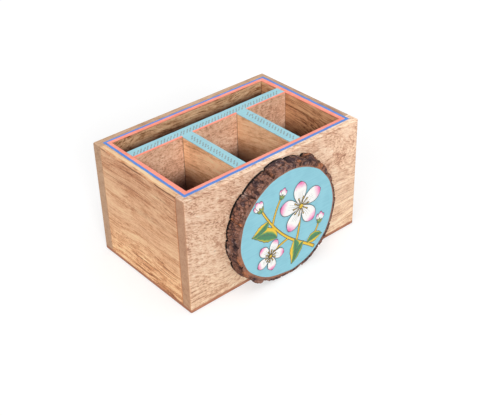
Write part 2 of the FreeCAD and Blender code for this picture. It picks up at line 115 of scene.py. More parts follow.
def calc(operation, first, second=0.0, clamp=False):  # one step of arithmetic
    node = addNode(treeOf(first, second), "Math", (first, second), operation=operation, use_clamp=clamp)
    return Wire(node.outputs[0])


def vectorCalc(operation, first, second=(0, 0, 0)):  # one step of vector arithmetic
    node = addNode(treeOf(first, second), "VectorMath", (first, second), operation=operation)
    return Wire(node.outputs["Value" if operation in ("LENGTH", "DOT_PRODUCT") else "Vector"])


def between(value, low, high, start=0.0, end=1.0):  # smooth step from start at low to end at high
    values = (value, low, high, start, end)
    return Wire(addNode(treeOf(value), "MapRange", values, interpolation_type="SMOOTHSTEP").outputs[0])


def axes(vector):  # its x, y and z by name
    node = addNode(treeOf(vector), "SeparateXYZ", (vector,))
    return {name: Wire(node.outputs[name]) for name in "XYZ"}


def distance(across, upward):  # length of a line that goes so far across and so far up
    node = addNode(treeOf(across), "CombineXYZ", (across, upward))
    return vectorCalc("LENGTH", Wire(node.outputs[0]))


def srgb(red, green, blue):  # screen colour of 0 to 255 as linear light
    share = np.array([red, green, blue]) / 255
    linear = np.where(share <= 0.04045, share / 12.92, ((share + 0.055) / 1.055) ** 2.4)
    return (*linear.tolist(), 1.0)


def mixColour(factor, first, second, mode="MIX"):  # from the first colour to the second by that factor
    node = addNode(treeOf(factor, first), "Mix", data_type="RGBA", blend_type=mode)
    for number, value in zip((0, 6, 7), (factor, first, second)):  # the node's sockets for colours
        feed(node.inputs[number], value)
    return Wire(node.outputs[2])


def over(factor, under, colour):  # a screen colour laid by that factor over a wire or another screen colour
    under = under if isinstance(under, Wire) else srgb(*under)
    return mixColour(factor, under, srgb(*colour))


def tinted(colour, factor, tint):  # the colour times a tint, by that factor
    return mixColour(factor, colour, mixColour(1.0, colour, (*tint, 1.0), "MULTIPLY"))


def colourRamp(factor, stops):  # stops are (place, screen colour) from low to high
    node = addNode(treeOf(factor), "ValToRGB", (factor,))
    elements = node.color_ramp.elements
    for place, _ in stops[2:]:
        elements.new(place)
    for element, (place, colour) in zip(elements, stops):
        element.position = place
        element.color = srgb(*colour)
    return Wire(node.outputs[0])


def noise(vector, length, width=None, detail=2.0, roughness=0.5, distortion=0.0):
    # Noise of 0 to 1 whose features are that long along the first axis and that wide across it
    width = width or length
    scaled = vectorCalc("MULTIPLY", vector, (1 / length, 1 / width, 1 / width))
    node = addNode(treeOf(vector), "TexNoise")
    fill(node, {"Vector": scaled, "Scale": 1.0, "Detail": detail, "Roughness": roughness,
                "Distortion": distortion})
    return Wire(node.outputs[0])


def objectPlace(tree, shift=(0, 0, 0), turn=(0, 0, 0)):  # object coordinates in millimetres, turned and moved
    source = Wire(addNode(tree, "TexCoord").outputs["Object"])
    angles = [math.radians(angle) for angle in turn]
    return Wire(addNode(tree, "Mapping", (source, shift, angles, (1 / mm,) * 3)).outputs[0])


def attribute(tree, name):  # a value that the mesh holds at its points
    return Wire(addNode(tree, "Attribute", attribute_name=name).outputs["Fac"])


def newMaterial(name):  # a material with a plain shader, its node tree and that shader
    material = bpy.data.materials.new(name)
    material.use_nodes = True
    tree = material.node_tree
    tree.nodes.clear()
    shader = addNode(tree, "BsdfPrincipled")
    addNode(tree, "OutputMaterial", (Wire(shader.outputs[0]),))
    return material, tree, shader


def bump(shader, height, depth, strength=1.0):  # relief of 0 to 1 over that many millimetres
    node = addNode(shader.id_data, "Bump")
    fill(node, {"Strength": strength, "Distance": depth * mm, "Height": height})
    feed(shader.inputs["Normal"], Wire(node.outputs[0]))


# Wood

# Each board has its grain's axis, tilt, fan and wander (flow), the places its noise and rings start from
# (shift and pith), tones from dark to pale, shares of the layers in woodFinish in their order, gains of the
# upper, middle and lower part, tints, and marks (place along, height, half length and width, slant, share).
# Tints by height and face partly paint light and shade: parts and faces lighter or darker as the lamps light
# them. A few have a pale rim, or heights and a tint of their own for the painted shade that darkens the wells
# towards the bottom
woodDefaults = {
    "tilt": 0.0, "fan": 0.0, "gains": (1.0, 1.0, 1.0), "endTint": (0.90, 0.84, 0.80), "worn": 0.0,
    "heightColourAndLightTints": [], "lengthTints": [], "faceColourAndLightTints": [], "calmFaces": [], "arches": [], "marks": [],
}
crossLook = {
    "grain": "y", "tilt": 6.0, "flow": 30, "ringPitch": 7.0, "rings": 0.08, "veins": 0.25,
    "shares": (0.45, 0.45, 0.40, 0.45, 0.30, 0.25, 0.15),
}
woodLooks = {
    "front_board": {
        "grain": "x", "fan": 0.36, "flow": 30, "shift": (310, 40, 15), "pith": (-70, 52), "ringPitch": 7.5,
        "tones": [(150, 102, 78), (206, 157, 128), (242, 204, 173), (253, 225, 198), (255, 242, 224)],
        "shares": (0.36, 0.42, 0.70, 0.24, 0.24, 0.42, 0.30), "gains": (1.05, 1.0, 1.05),
        "rings": 0.05, "veins": 0.26, "worn": 0.35, "endTint": (0.68, 0.57, 0.50),
        "lengthTints": [(0.92, 0.90, 0.88), (1.05, 1.05, 1.03)],
        "heightColourAndLightTints": [(0.97, 0.94, 0.94), (1.04, 1.06, 1.02)],
        "faceColourAndLightTints": [((0, 1, 0), (0.90, 0.80, 0.72)), ((0, 0, 1), (1.02, 1.08, 1.11))],
        "marks": [(-92, 101.5, 3.6, 0.9, 24, 1.0), (-90, 99.8, 2.6, 0.8, 30, 0.9),
                  (-71, 53, 2.2, 1.2, 0, 0.8), (-88, 30, 3.2, 0.8, 20, 0.9), (-86, 27.5, 2.4, 0.7, 25, 0.8),
                  (-69, 81, 7.0, 1.0, -10, 0.6), (-62, 79, 5.0, 0.9, 8, 0.6), (66, 88, 3.0, 0.9, 12, 0.7)],
    },
    "back_board": {
        "grain": "x", "tilt": -2.5, "flow": 30, "shift": (-140, 80, 70), "pith": (90, 95), "ringPitch": 6.5,
        "tones": [(112, 74, 46), (188, 144, 106), (230, 190, 154), (242, 208, 171), (250, 226, 193)],
        "shares": (0.40, 0.55, 0.75, 0.55, 0.40, 0.30, 0.25), "gains": (1.25, 0.8, 0.8),
        # its own heights for the painted shade on the slot's back wall
        "rings": 0.10, "veins": 0.8, "worn": 0.4, "endTint": (0.70, 0.66, 0.65), "paintedWellShade": (109, 98),
        "calmFaces": [((0, 1, 0), 0.50), ((0, 0, 1), 0.65)],
        "faceColourAndLightTints": [((0, -1, 0), (0.80, 0.76, 0.69)), ((0, 0, 1), (0.74, 0.72, 0.72)),
                      ((0, 1, 0), (1.06, 0.98, 0.94))],
    },
    "left_side_board": {
        "grain": "y", "flow": 12, "shift": (60, 25, -30), "pith": (120, 30), "ringPitch": 8.0,
        "tones": [(142, 86, 52), (207, 145, 101), (239, 188, 146), (249, 209, 163), (255, 234, 194)],
        "shares": (0.50, 0.55, 0.70, 0.35, 0.25, 0.40, 0.12), "gains": (0.95, 0.65, 1.6),
        "rings": 0.04, "veins": 0.50, "worn": 0.8, "paleRim": {"insets": (1.0, 3.8), "shares": (0.3, 0.8)},
        "heightColourAndLightTints": [(0.87, 0.82, 0.82), (1.13, 1.11, 1.03)], "faceColourAndLightTints": [((0, 0, 1), (1.0, 1.03, 1.0))],
        "marks": [(-12, 74, 46, 5.0, -4, 0.35), (18, 92, 30, 2.5, -2, 0.35), (-36, 102, 16, 1.4, 0, 0.6)],
    },
    "right_side_board": {
        "grain": "y", "tilt": -3.0, "flow": 26, "shift": (-90, 60, 45), "pith": (-80, 70), "ringPitch": 7.0,
        "tones": [(112, 70, 46), (194, 144, 108), (232, 184, 144), (244, 204, 162), (252, 224, 184)],
        "shares": (0.50, 0.75, 0.75, 0.50, 0.35, 0.20, 0.10), "rings": 0.10, "veins": 0.80, "worn": 0.6,
        "calmFaces": [((1, 0, 0), 0.40), ((0, 0, 1), 0.40)],
        "faceColourAndLightTints": [((-1, 0, 0), (0.86, 0.76, 0.67)), ((0, 0, 1), (0.64, 0.66, 0.74))],
    },
    "long_divider": {
        "grain": "x", "tilt": 1.0, "flow": 50, "shift": (20, -60, 90), "pith": (-25, 84), "ringPitch": 2.0,
        "tones": [(160, 112, 84), (210, 162, 132), (234, 192, 160), (244, 210, 182), (252, 230, 206)],
        "shares": (0.35, 0.10, 0.10, 0.35, 0.75, 0.80, 0.30), "rings": 0.08, "veins": 0.20,
        "arches": [(27, 118, 6.0, 0.40, 52)],  # centre along and up, pitch, share and reach
        "heightColourAndLightTints": [(0.86, 0.84, 0.82), (1, 1, 1)], "faceColourAndLightTints": [((0, -1, 0), (1.10, 1.09, 1.11))],
    },
    "left_cross_divider": {
        **crossLook, "shift": (75, 15, 130), "pith": (110, -30),
        "tones": [(152, 102, 64), (216, 162, 118), (246, 198, 152), (252, 214, 170), (255, 232, 192)],
        "faceColourAndLightTints": [((-1, 0, 0), (1.10, 1.09, 1.12))],
    },
    "right_cross_divider": {
        **crossLook, "shift": (-35, 95, -75), "pith": (-95, -45),
        "tones": [(152, 102, 64), (214, 160, 114), (244, 194, 147), (251, 211, 165), (255, 230, 188)],
        "faceColourAndLightTints": [((-1, 0, 0), (0.97, 0.98, 1.04))],
    },
    "base_board": {
        "grain": "x", "flow": 20, "shift": (0, 210, 35), "pith": (-60, 40), "ringPitch": 6.0,
        "tones": [(104, 62, 44), (156, 100, 74), (184, 124, 94), (198, 140, 108), (210, 156, 126)],
        "shares": (0.40, 0.45, 0.25, 0.45, 0.30, 0.20, 0.10), "rings": 0.10, "veins": 0.40,
        # a lighter painted shade on the wells' floors
        "paintedShadeTint": (0.72, 0.66, 0.63),
    },
}
woodFinish = {
    "layers": {  # feature length along the grain and width across it, detail, roughness, distortion
        "broad": (42, 13, 2.0, 0.5, 0.3), "streaks": (90, 3.0, 2.0, 0.5, 0.3),
        "lines": (60, 1.1, 2.0, 0.5, 0.2), "dashes": (11, 1.2, 2.0, 0.6, 0.3),
        "blotches": (5.0, 2.6, 3.0, 0.6, 0.6), "grit": (2.0, 1.0, 2.0, 0.6, 0.0),
        "curl": (6.5, 13, 2.0, 0.5, 0.9),
    },
    "tonePlaces": (0.14, 0.36, 0.52, 0.68, 0.88), "flowSize": (80, 42), "fanHeight": 60,
    "warpSize": (70, 26), "ringWarp": 30.0, "waveShare": 0.25,
    "archWarp": 7.0, "archFade": 6, "fleckSize": 1.5, "fleckRange": (0.35, 0.62),
    "vein": (22, 0.9, 2.0, 0.5, 0.3), "veinRange": (0.54, 0.63), "veinGather": (0.58, 0.44, 0.25, 1.0),
    "veinTint": (0.66, 0.50, 0.42),
    "facingRange": (0.4, 0.8), "endRange": (0.5, 0.9), "uprightRange": (0.9, 0.6), "endCalm": 0.6,
    # joint lines: a faint dark joint outside, and much darker inside as painted shade in the inner corners
    "jointFade": (0.8, 0.1), "jointAndCornerShadeDark": (78, 48, 36), "jointAndCornerShadeShares": {"outside": 0.06, "inside": 0.60},
    # painted shade in the wells: its tint, and the heights where the inside starts to darken and is darkest
    "wallSlack": 0.2, "paintedShadeTint": (0.21, 0.155, 0.165),
    "wells": {"x": (86, 64), "y": (97, 64)},  # heights where the inside starts to darken and is darkest
    "markTint": (0.50, 0.38, 0.33), "markFade": (1.0, 0.3), "markGrit": 1.3, "markGritRange": (0.30, 0.6),
    "roughness": 0.56, "roughnessVary": 0.14, "specular": 0.35,
    "poreDepth": 0.16, "poreShare": 0.7, "poreStrength": 0.6,
}
# pale band at the walls' top edges, sanded wood with a painted highlight, and the painted shadow line under
# it
wornRimAndPaintedLight = {
    "wave": 26, "depth": 0.8, "depthRange": (0.36, 0.68),
    "pale": (250, 222, 178), "paleFade": (0.3, -0.2, 0.0, 0.6),
    "dark": (120, 74, 50), "shadowLineBelow": 0.7, "shadowLineFade": (1.0, 0.3), "shadowLineBreaks": (0.40, 0.54),
    "top": (248, 216, 174), "topWander": 3.0, "topFade": (2.4, 0.8),
}


def grainPlace(tree, look, alongY):
    # Board coordinates with the grain along the first axis, pushed sideways by a slow noise so that the grain
    # bends, and sheared more with height where it fans out from the foot of the board
    turn = (look["tilt"], 0, -90) if alongY else (0, look["tilt"], 0)
    board = objectPlace(tree, look["shift"], turn)
    push = (noise(board, *woodFinish["flowSize"], detail=1.0) - 0.5) * look["flow"]
    if look["fan"]:
        place = axes(objectPlace(tree, (halfLength, 0, 0)))
        slope = between(place["Z"], baseTop, baseTop + woodFinish["fanHeight"], 0.0, look["fan"])
        push = place["X"] * slope + push
    sideways = Wire(addNode(tree, "CombineXYZ", (0.0, push, push)).outputs[0])
    return vectorCalc("ADD", board, sideways)


def archedGrain(tree, place, look, warp):
    # Arches on a board's face: waves of the distance from each centre, broken into flecks, within that reach
    total = 0.0
    for centreX, centreZ, pitch, share, reach in look["arches"]:
        fleck = between(noise(objectPlace(tree), woodFinish["fleckSize"]), *woodFinish["fleckRange"])
        away = distance(place["X"] - centreX, place["Z"] - centreZ) + warp * woodFinish["archWarp"]
        wave = calc("SINE", away * (2 * math.pi / pitch))
        near = between(away, reach, reach - woodFinish["archFade"], 0.0, woodFinish["waveShare"] * share)
        total = wave * fleck * near + total
    return total


def grainTone(tree, board, place, look, upper, lower):
    # Tone about one half: noises stretched along the grain and rings about the pith, added with the board's
    # shares, then times a gain that changes with height
    warp = noise(board, *woodFinish["warpSize"], detail=1.0)
    section = vectorCalc("MULTIPLY", vectorCalc("SUBTRACT", board, (0, *look["pith"])), (0, 1, 1))
    radius = vectorCalc("LENGTH", section) + warp * woodFinish["ringWarp"]
    rings = calc("SINE", radius * (2 * math.pi / look["ringPitch"]))
    total = rings * (woodFinish["waveShare"] * look["rings"]) + archedGrain(tree, place, look, warp)
    layers = {}
    for share, (name, texture) in zip(look["shares"], woodFinish["layers"].items()):
        layers[name] = noise(board, *texture)
        total = (layers[name] - 0.5) * share + total
    top, middle, bottom = look["gains"]
    gain = upper * (top - middle) + lower * (bottom - middle) + middle
    return total * gain + 0.5, layers


def looksAlong(facing, direction):  # 1 on faces that look that way, 0 on the others
    return between(vectorCalc("DOT_PRODUCT", facing, direction), *woodFinish["facingRange"])


def insideWalls(place):  # 1 inside the four walls, 0 outside
    inX = calc("LESS_THAN", abs(place["X"]), rightInner + woodFinish["wallSlack"])
    inY = calc("LESS_THAN", abs(place["Y"]), backInner + woodFinish["wallSlack"])
    return inX * inY


def jointLinesAndCornerShade(colour, place, planes, inside, facing):
    # Dark hairline where the board meets its neighbour, much darker inside the walls where it paints the
    # shade of
    # the inner corners: fades with the distance from each plane (axis and place), on faces across that plane,
    # or only on those that look along its direction where it has one
    shares = woodFinish["jointAndCornerShadeShares"]
    share = inside * (shares["inside"] - shares["outside"]) + shares["outside"]
    for axis, at, *direction in planes:
        line = share * between(abs(place[axis] - at), *woodFinish["jointFade"])
        if direction:
            line = line * looksAlong(facing, *direction)
        normal = [float(axis == name) for name in "XYZ"]
        flat = abs(vectorCalc("DOT_PRODUCT", facing, normal))
        line = line * between(flat, *woodFinish["facingRange"], 1.0, 0.0)
        colour = over(line, colour, woodFinish["jointAndCornerShadeDark"])
    return colour


def woodMarks(tree, colour, place, look, along):
    # Dark marks: soft-edged slanting ovals at their places along and up the board, broken up by a fine noise
    if not look["marks"]:
        return colour
    grit = between(noise(objectPlace(tree), woodFinish["markGrit"]), *woodFinish["markGritRange"])
    for at, height, length, width, slant, share in look["marks"]:
        cosine, sine = math.cos(math.radians(slant)), math.sin(math.radians(slant))
        sideways, upward = place[along] - at, place["Z"] - height
        away = distance(sideways * (cosine / length) + upward * (sine / length),
                        upward * (cosine / width) - sideways * (sine / width))
        mask = between(away, *woodFinish["markFade"], 0.0, share) * grit
        colour = tinted(colour, mask, woodFinish["markTint"])
    return colour


def wornEdgeAndPaintedLight(tree, colour, place, look, upright):
    # Sanded top edge of a wall: its sides pale down to a wavering line, a pale band that also paints the
    # rounded edge's highlight, with a thin broken dark line under it that is painted shadow, and a pale strip
    # along its top where the look has one
    wave = noise(objectPlace(tree, look["shift"]), wornRimAndPaintedLight["wave"])
    width = between(wave, *wornRimAndPaintedLight["depthRange"], 0.0, wornRimAndPaintedLight["depth"] * look["worn"])
    below = rimTop - place["Z"] - width
    colour = over(between(below, *wornRimAndPaintedLight["paleFade"]) * upright, colour, wornRimAndPaintedLight["pale"])
    line = between(abs(below - wornRimAndPaintedLight["shadowLineBelow"]), *wornRimAndPaintedLight["shadowLineFade"], 0.0, look["worn"]) * upright
    colour = over(line * between(wave, *wornRimAndPaintedLight["shadowLineBreaks"]), colour, wornRimAndPaintedLight["dark"])
    if "paleRim" in look:
        inset = halfLength - abs(place["X"]) - (wave - 0.5) * wornRimAndPaintedLight["topWander"]
        middle = between(place["Y"], -halfDepth, 0.0, *look["paleRim"]["insets"])
        strip = between(abs(inset - middle), *wornRimAndPaintedLight["topFade"])
        strip = strip * between(abs(place["Y"]), halfDepth, 0.0, *look["paleRim"]["shares"])
        colour = over(strip * (1.0 - upright), colour, wornRimAndPaintedLight["top"])
    return colour


def woodMaterial(name, planes):
    # Grain's tone on a ramp of the board's tones, then veins, tints (partly painted light), marks, worn edges
    # with painted highlight and shadow line, joints with painted corner shade, and painted shade in the wells
    look = {**woodDefaults, **woodLooks[name]}
    material, tree, shader = newMaterial(name + "_wood")
    alongY = look["grain"] == "y"
    board = grainPlace(tree, look, alongY)
    place = axes(objectPlace(tree))
    facing = Wire(addNode(tree, "TexCoord").outputs["Normal"])
    middle = (rimTop + baseTop) / 2
    upper, lower = between(place["Z"], middle, rimTop), between(place["Z"], middle, baseTop)
    tone, layers = grainTone(tree, board, place, look, upper, lower)
    lengthways = (0, 1, 0) if alongY else (1, 0, 0)
    ends = between(abs(vectorCalc("DOT_PRODUCT", facing, lengthways)), *woodFinish["endRange"])
    calm = ends * woodFinish["endCalm"]
    for direction, share in look["calmFaces"]:
        calm = calc("MAXIMUM", calm, looksAlong(facing, direction) * share)
    colour = colourRamp((0.5 - tone) * calm + tone, list(zip(woodFinish["tonePlaces"], look["tones"])))
    gather = between(layers["broad"], *woodFinish["veinGather"])
    vein = between(noise(board, *woodFinish["vein"]), *woodFinish["veinRange"]) * gather * (1.0 - calm)
    colour = tinted(colour, vein * look["veins"], woodFinish["veinTint"])
    # tints of the upper and lower part: partly tone, partly painted light that makes a wall's top or foot
    # lighter or darker
    for mask, tint in zip((upper, lower), look["heightColourAndLightTints"]):
        colour = tinted(colour, mask, tint)
    for end, tint in zip((-halfLength, halfLength), look["lengthTints"]):
        colour = tinted(colour, between(place["X"], 0.0, end), tint)
    colour = woodMarks(tree, colour, place, look, "Y" if alongY else "X")
    if look["worn"]:
        upright = between(vectorCalc("DOT_PRODUCT", facing, (0, 0, 1)), *woodFinish["uprightRange"])
        colour = wornEdgeAndPaintedLight(tree, colour, place, look, upright)
    # tints by the way a face looks: partly colour, partly painted light and shade on faces the lamps light
    # more or less
    for direction, tint in look["faceColourAndLightTints"]:
        colour = tinted(colour, looksAlong(facing, direction), tint)
    colour = tinted(colour, ends, look["endTint"])
    inside = insideWalls(place)
    colour = jointLinesAndCornerShade(colour, place, planes, inside, facing)
    # painted shade: the inside of the walls darkens towards the bottom of the wells
    paintedWellShade = between(place["Z"], *look.get("paintedWellShade", woodFinish["wells"][look["grain"]]))
    colour = tinted(colour, inside * paintedWellShade, look.get("paintedShadeTint", woodFinish["paintedShadeTint"]))
    roughness = layers["dashes"] * woodFinish["roughnessVary"] + woodFinish["roughness"]
    fill(shader, {"Base Color": colour, "Roughness": roughness, "Specular IOR Level": woodFinish["specular"]})
    relief = layers["dashes"] * woodFinish["poreShare"] - vein
    bump(shader, relief, woodFinish["poreDepth"], woodFinish["poreStrength"])
    return material


def dress(name, material):  # one material for a node
    nodes[name].data.materials.clear()
    nodes[name].data.materials.append(material)


wallJoints = [("Z", baseTop), ("Y", frontInner), ("Y", backInner)]
endJoints = [("X", leftInner), ("X", rightInner)]
crossJoints = [("Y", longLow[1]), ("Y", frontInner)]
longJoints = [("X", edge[0], (0, -1, 0)) for box in crossBoxes.values() for edge in box]
jointPlanes = {
    "front_board": wallJoints + [(*joint, (0, 1, 0)) for joint in endJoints],
    "back_board": wallJoints + [(*joint, (0, -1, 0)) for joint in endJoints],
    "left_side_board": wallJoints, "right_side_board": wallJoints, "base_board": wallJoints[:1],
    "left_cross_divider": crossJoints, "right_cross_divider": crossJoints,
    "long_divider": longJoints + [("X", longLow[0]), ("X", longHigh[0])],
}
for boardName in woodLooks:
    dress(boardName, woodMaterial(boardName, jointPlanes[boardName]))
print("wood dressed:", len(woodLooks), "boards")


# Steel pins, nails and screws

steelLook = {"colour": (168, 168, 172), "tarnish": (112, 104, 98), "tarnishRange": (0.45, 0.7),
             "roughness": (0.38, 0.6), "blotch": (2.5, 2.5, 3.0), "grain": 0.3, "relief": 0.03}


def steelMaterial():  # bright wire, tarnished and duller where a noise is high
    material, tree, shader = newMaterial("drawn_steel")
    place = objectPlace(tree)
    blotch = noise(place, *steelLook["blotch"])
    colour = over(between(blotch, *steelLook["tarnishRange"]), steelLook["colour"], steelLook["tarnish"])
    roughness = between(blotch, *noiseSpan, *steelLook["roughness"])
    fill(shader, {"Base Color": colour, "Metallic": 1.0, "Roughness": roughness})
    bump(shader, noise(place, steelLook["grain"]), steelLook["relief"])
    return material


steel = steelMaterial()
for fastener in ("front_corner_pins", "back_corner_pins", "long_divider_end_pins", "cross_divider_front_pins",
                 "cross_divider_rear_pins", "base_nails", "slice_screws"):
    dress(fastener, steel)
print("fasteners dressed")


# Mesh building

handWaver = {"waves": 6, "turns": (2, 14), "spread": 3, "calmEnds": 8}


def gridFaces(rows, columns, wrapRows=False, wrapColumns=False):
    # Quads between neighbouring rows and columns of a grid, closed round on itself where it wraps
    across = np.arange(columns if wrapColumns else columns - 1)
    down = np.arange(rows if wrapRows else rows - 1)[:, None]
    nextAcross = (across + 1) % columns
    nextDown = (down + 1) % rows
    corners = (down * columns + across, down * columns + nextAcross,
               nextDown * columns + nextAcross, nextDown * columns + across)
    return np.stack([np.broadcast_to(c, (len(down), len(across))) for c in corners], axis=-1).reshape(-1, 4)


def endFaces(rows, columns):  # the first and the last row of a grid as two many-sided faces that look apart
    return [list(range(columns))[::-1], list(range((rows - 1) * columns, rows * columns))]


def joinParts(points, faces):  # several meshes as one, with each part's corner numbers moved on
    starts = np.cumsum([0] + [len(part) for part in points[:-1]])
    joined = [[corner + start for corner in face] for part, start in zip(faces, starts) for face in part]
    return np.concatenate(points), joined


def addPiece(name, points, faces, material, slot, attributes=None, smooth=True):
    # One mesh from points in millimetres and lists of corner numbers, riding on the caddy
    mesh = bpy.data.meshes.new(name)
    mesh.from_pydata(np.asarray(points, float) * mm, [], [list(map(int, face)) for face in faces])
    for label, values in (attributes or {}).items():
        layer = mesh.attributes.new(label, "FLOAT", "POINT")
        layer.data.foreach_set("value", np.asarray(values, np.float32).ravel())
    mesh.polygons.foreach_set("use_smooth", np.full(len(mesh.polygons), smooth))
    mesh.materials.append(material)
    mesh.update()
    piece = bpy.data.objects.new(name, mesh)
    bpy.context.scene.collection.objects.link(piece)
    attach(piece, "root")
    return piece


def waver(count, amount, seed):
    # A hand's unevenness along a line of that many stations: seeded sine waves added up, nil at both ends
    rng = np.random.default_rng(seed)
    along = np.linspace(0, 1, count)
    turns = rng.uniform(*handWaver["turns"], handWaver["waves"])[:, None]
    phase = rng.uniform(0, 2 * math.pi, handWaver["waves"])[:, None]
    line = np.sin(2 * math.pi * turns * along + phase).sum(axis=0) / handWaver["spread"]
    return amount * line * np.clip(handWaver["calmEnds"] * np.minimum(along, 1 - along), 0, 1)


# Paint

paintLooks = {
    "coral_paint": {"colour": (255, 158, 136), "shade": (243, 140, 116)},
    "blue_paint": {"colour": (88, 140, 217), "shade": (77, 128, 205)},
    "turquoise_paint": {"colour": (148, 207, 221), "shade": (139, 198, 213)},
    "divider_paint": {"colour": (158, 207, 218), "shade": (150, 199, 210)},
    "border_ink": {"colour": (145, 162, 166), "shade": (134, 150, 155)},
}
paintFinish = {"film": 0.09, "brush": (14.0, 0.8), "cloud": 11, "shadeRange": (0.38, 0.66), "specular": 0.4,
               "roughness": (0.46, 0.58), "relief": 0.03}


def paintMaterial(name):
    # Flat hand paint: brush marks and clouds vary its colour, gloss and relief a little
    look = paintLooks[name]
    material, tree, shader = newMaterial(name)
    place = objectPlace(tree)
    marks = noise(place, *paintFinish["brush"])
    both = (marks + noise(place, paintFinish["cloud"])) * 0.5
    colour = over(between(both, *paintFinish["shadeRange"]), look["colour"], look["shade"])
    roughness = between(marks, *noiseSpan, *paintFinish["roughness"])
    specular = paintFinish["specular"]
    fill(shader, {"Base Color": colour, "Roughness": roughness, "Specular IOR Level": specular})
    bump(shader, marks, paintFinish["relief"])
    return material


paints = {name: paintMaterial(name) for name in paintLooks}


# Painted rims

rimPaint = {
    "bareStrips": (5.5, 5.5, 6.9, 5.6), "blueWidths": (3.0, 2.7, 2.2, 2.6),  # front, right, back, left
    "leans": (0.0, -0.9, 0.0, -1.2),  # how much the bare strip widens from each side's start to its end
    "ease": 0.4, "wrapDown": 0.9, "step": 1.5, "waver": 0.10, "blueSeed": 11, "coralSeed": 21,
}
filmEdge = {"bite": 0.02, "lipIn": 0.03, "lipShare": 0.6, "flatFrom": 0.12, "tuck": 0.05, "under": 0.5,
            "wrapAngles": (0, 30, 60, 90)}


def filmProfile(start, end, wrapStart=False, wrapEnd=False, down=rimPaint["wrapDown"]):
    # Section of a paint film as (place across, height): flat with soft edges, or turned down over an edge
    film, ease = paintFinish["film"], rimPaint["ease"]
    tuck, under = filmEdge["tuck"], filmEdge["under"]

    def edge(at, inward, wrap):  # corner points from the wood up to the flat of the film
        if not wrap:
            return [(at, -filmEdge["bite"]), (at + inward * filmEdge["lipIn"], filmEdge["lipShare"] * film),
                    (at + inward * filmEdge["flatFrom"], film)]
        quarter = np.radians(filmEdge["wrapAngles"])
        sideways = at + inward * (ease - (ease + film) * np.cos(quarter))
        upward = (ease + film) * np.sin(quarter) - ease
        return [(at, -down), (at - inward * film, tuck - down), *zip(sideways, upward)]

    left = edge(start, 1, wrapStart)
    right = edge(end, -1, wrapEnd)
    below = [(end - under, -tuck - under * wrapEnd), (start + under, -tuck - under * wrapStart)]
    return np.array(left + right[::-1] + below)


def rimRing(name, starts, ends, slot, seed, wrapEnd=False):
    # Profile carried round the rim: each side keeps its own insets and ends at its neighbours', so the
    # corners mitre, and only the edges that lie free on the wood lean and waver
    profiles = [filmProfile(start, end, False, wrapEnd) for start, end in zip(starts, ends)]
    half = (halfLength, halfDepth)
    middles = np.add(starts, ends) / 2
    loose = [(profile[:, 0] < middle) | (not wrapEnd) for profile, middle in zip(profiles, middles)]
    leans = [lean / 2 * free for lean, free in zip(rimPaint["leans"], loose)]
    firstInset = [profile[:, 0] - lean for profile, lean in zip(profiles, leans)]
    lastInset = [profile[:, 0] + lean for profile, lean in zip(profiles, leans)]
    corner = np.array([(-1, -1), (1, -1), (1, 1), (-1, 1)])
    sides = []
    for side, profile in enumerate(profiles):
        along, across = side % 2, 1 - side % 2
        first, last = corner[side], corner[(side + 1) % 4]
        count = int(2 * half[along] / rimPaint["step"])
        share = np.linspace(0, 1, count, endpoint=False)[:, None]
        drift = waver(count, rimPaint["waver"], seed + side)[:, None]
        begin = first[along] * (half[along] - lastInset[side - 1])
        finish = last[along] * (half[along] - firstInset[(side + 1) % 4])
        inset = firstInset[side] + (lastInset[side] - firstInset[side]) * share + drift * loose[side]
        grid = np.empty((count, len(profile), 3))
        grid[..., along] = begin + (finish - begin) * share
        grid[..., across] = first[across] * (half[across] - inset)
        grid[..., 2] = rimTop + profile[:, 1]
        sides.append(grid)
    grid = np.concatenate(sides)
    faces = gridFaces(*grid.shape[:2], True, True)[:, ::-1]
    return addPiece(name, grid.reshape(-1, 3), faces, paints[slot], slot, smooth=False)


blueEnds = np.add(rimPaint["bareStrips"], rimPaint["blueWidths"])
rimRing("rim_blue_line", rimPaint["bareStrips"], blueEnds, "blue_paint", rimPaint["blueSeed"])
rimRing("rim_coral_line", blueEnds, [wallThick] * 4, "coral_paint", rimPaint["coralSeed"], wrapEnd=True)
print("rim painted")


# Painted divider tops

dividerPaint = {
    "coralStrips": (1.9, 1.9, 1.4),  # left, middle and right well
    "coralDown": 0.55, "waver": 0.10, "waverAbove": -0.03, "step": 1.5, "underlap": 0.02, "overlap": 0.6,
    "longSeed": 31, "crossSeed": 32, "coralSeed": 41,
}


def straightFilm(name, start, end, across, profile, paint, slot, seed, alongY=False):
    # Profile carried straight from start to end: its first number is the place across, its second the height
    count = max(2, int(abs(end - start) / dividerPaint["step"]))
    along = np.linspace(start, end, count)[:, None] + 0 * profile[None, :, 0]
    loose = profile[None, :, 1] > dividerPaint["waverAbove"]
    sideways = across + profile[None, :, 0] + waver(count, dividerPaint["waver"], seed)[:, None] * loose
    height = np.broadcast_to(rimTop + profile[:, 1], along.shape)
    grid = np.stack([sideways, along, height] if alongY else [along, sideways, height], axis=-1)
    faces = gridFaces(count, len(profile), False, True).tolist() + endFaces(count, len(profile))
    if not alongY:
        faces = [face[::-1] for face in faces]
    return addPiece(name, grid.reshape(-1, 3), faces, paints[paint], slot, smooth=False)


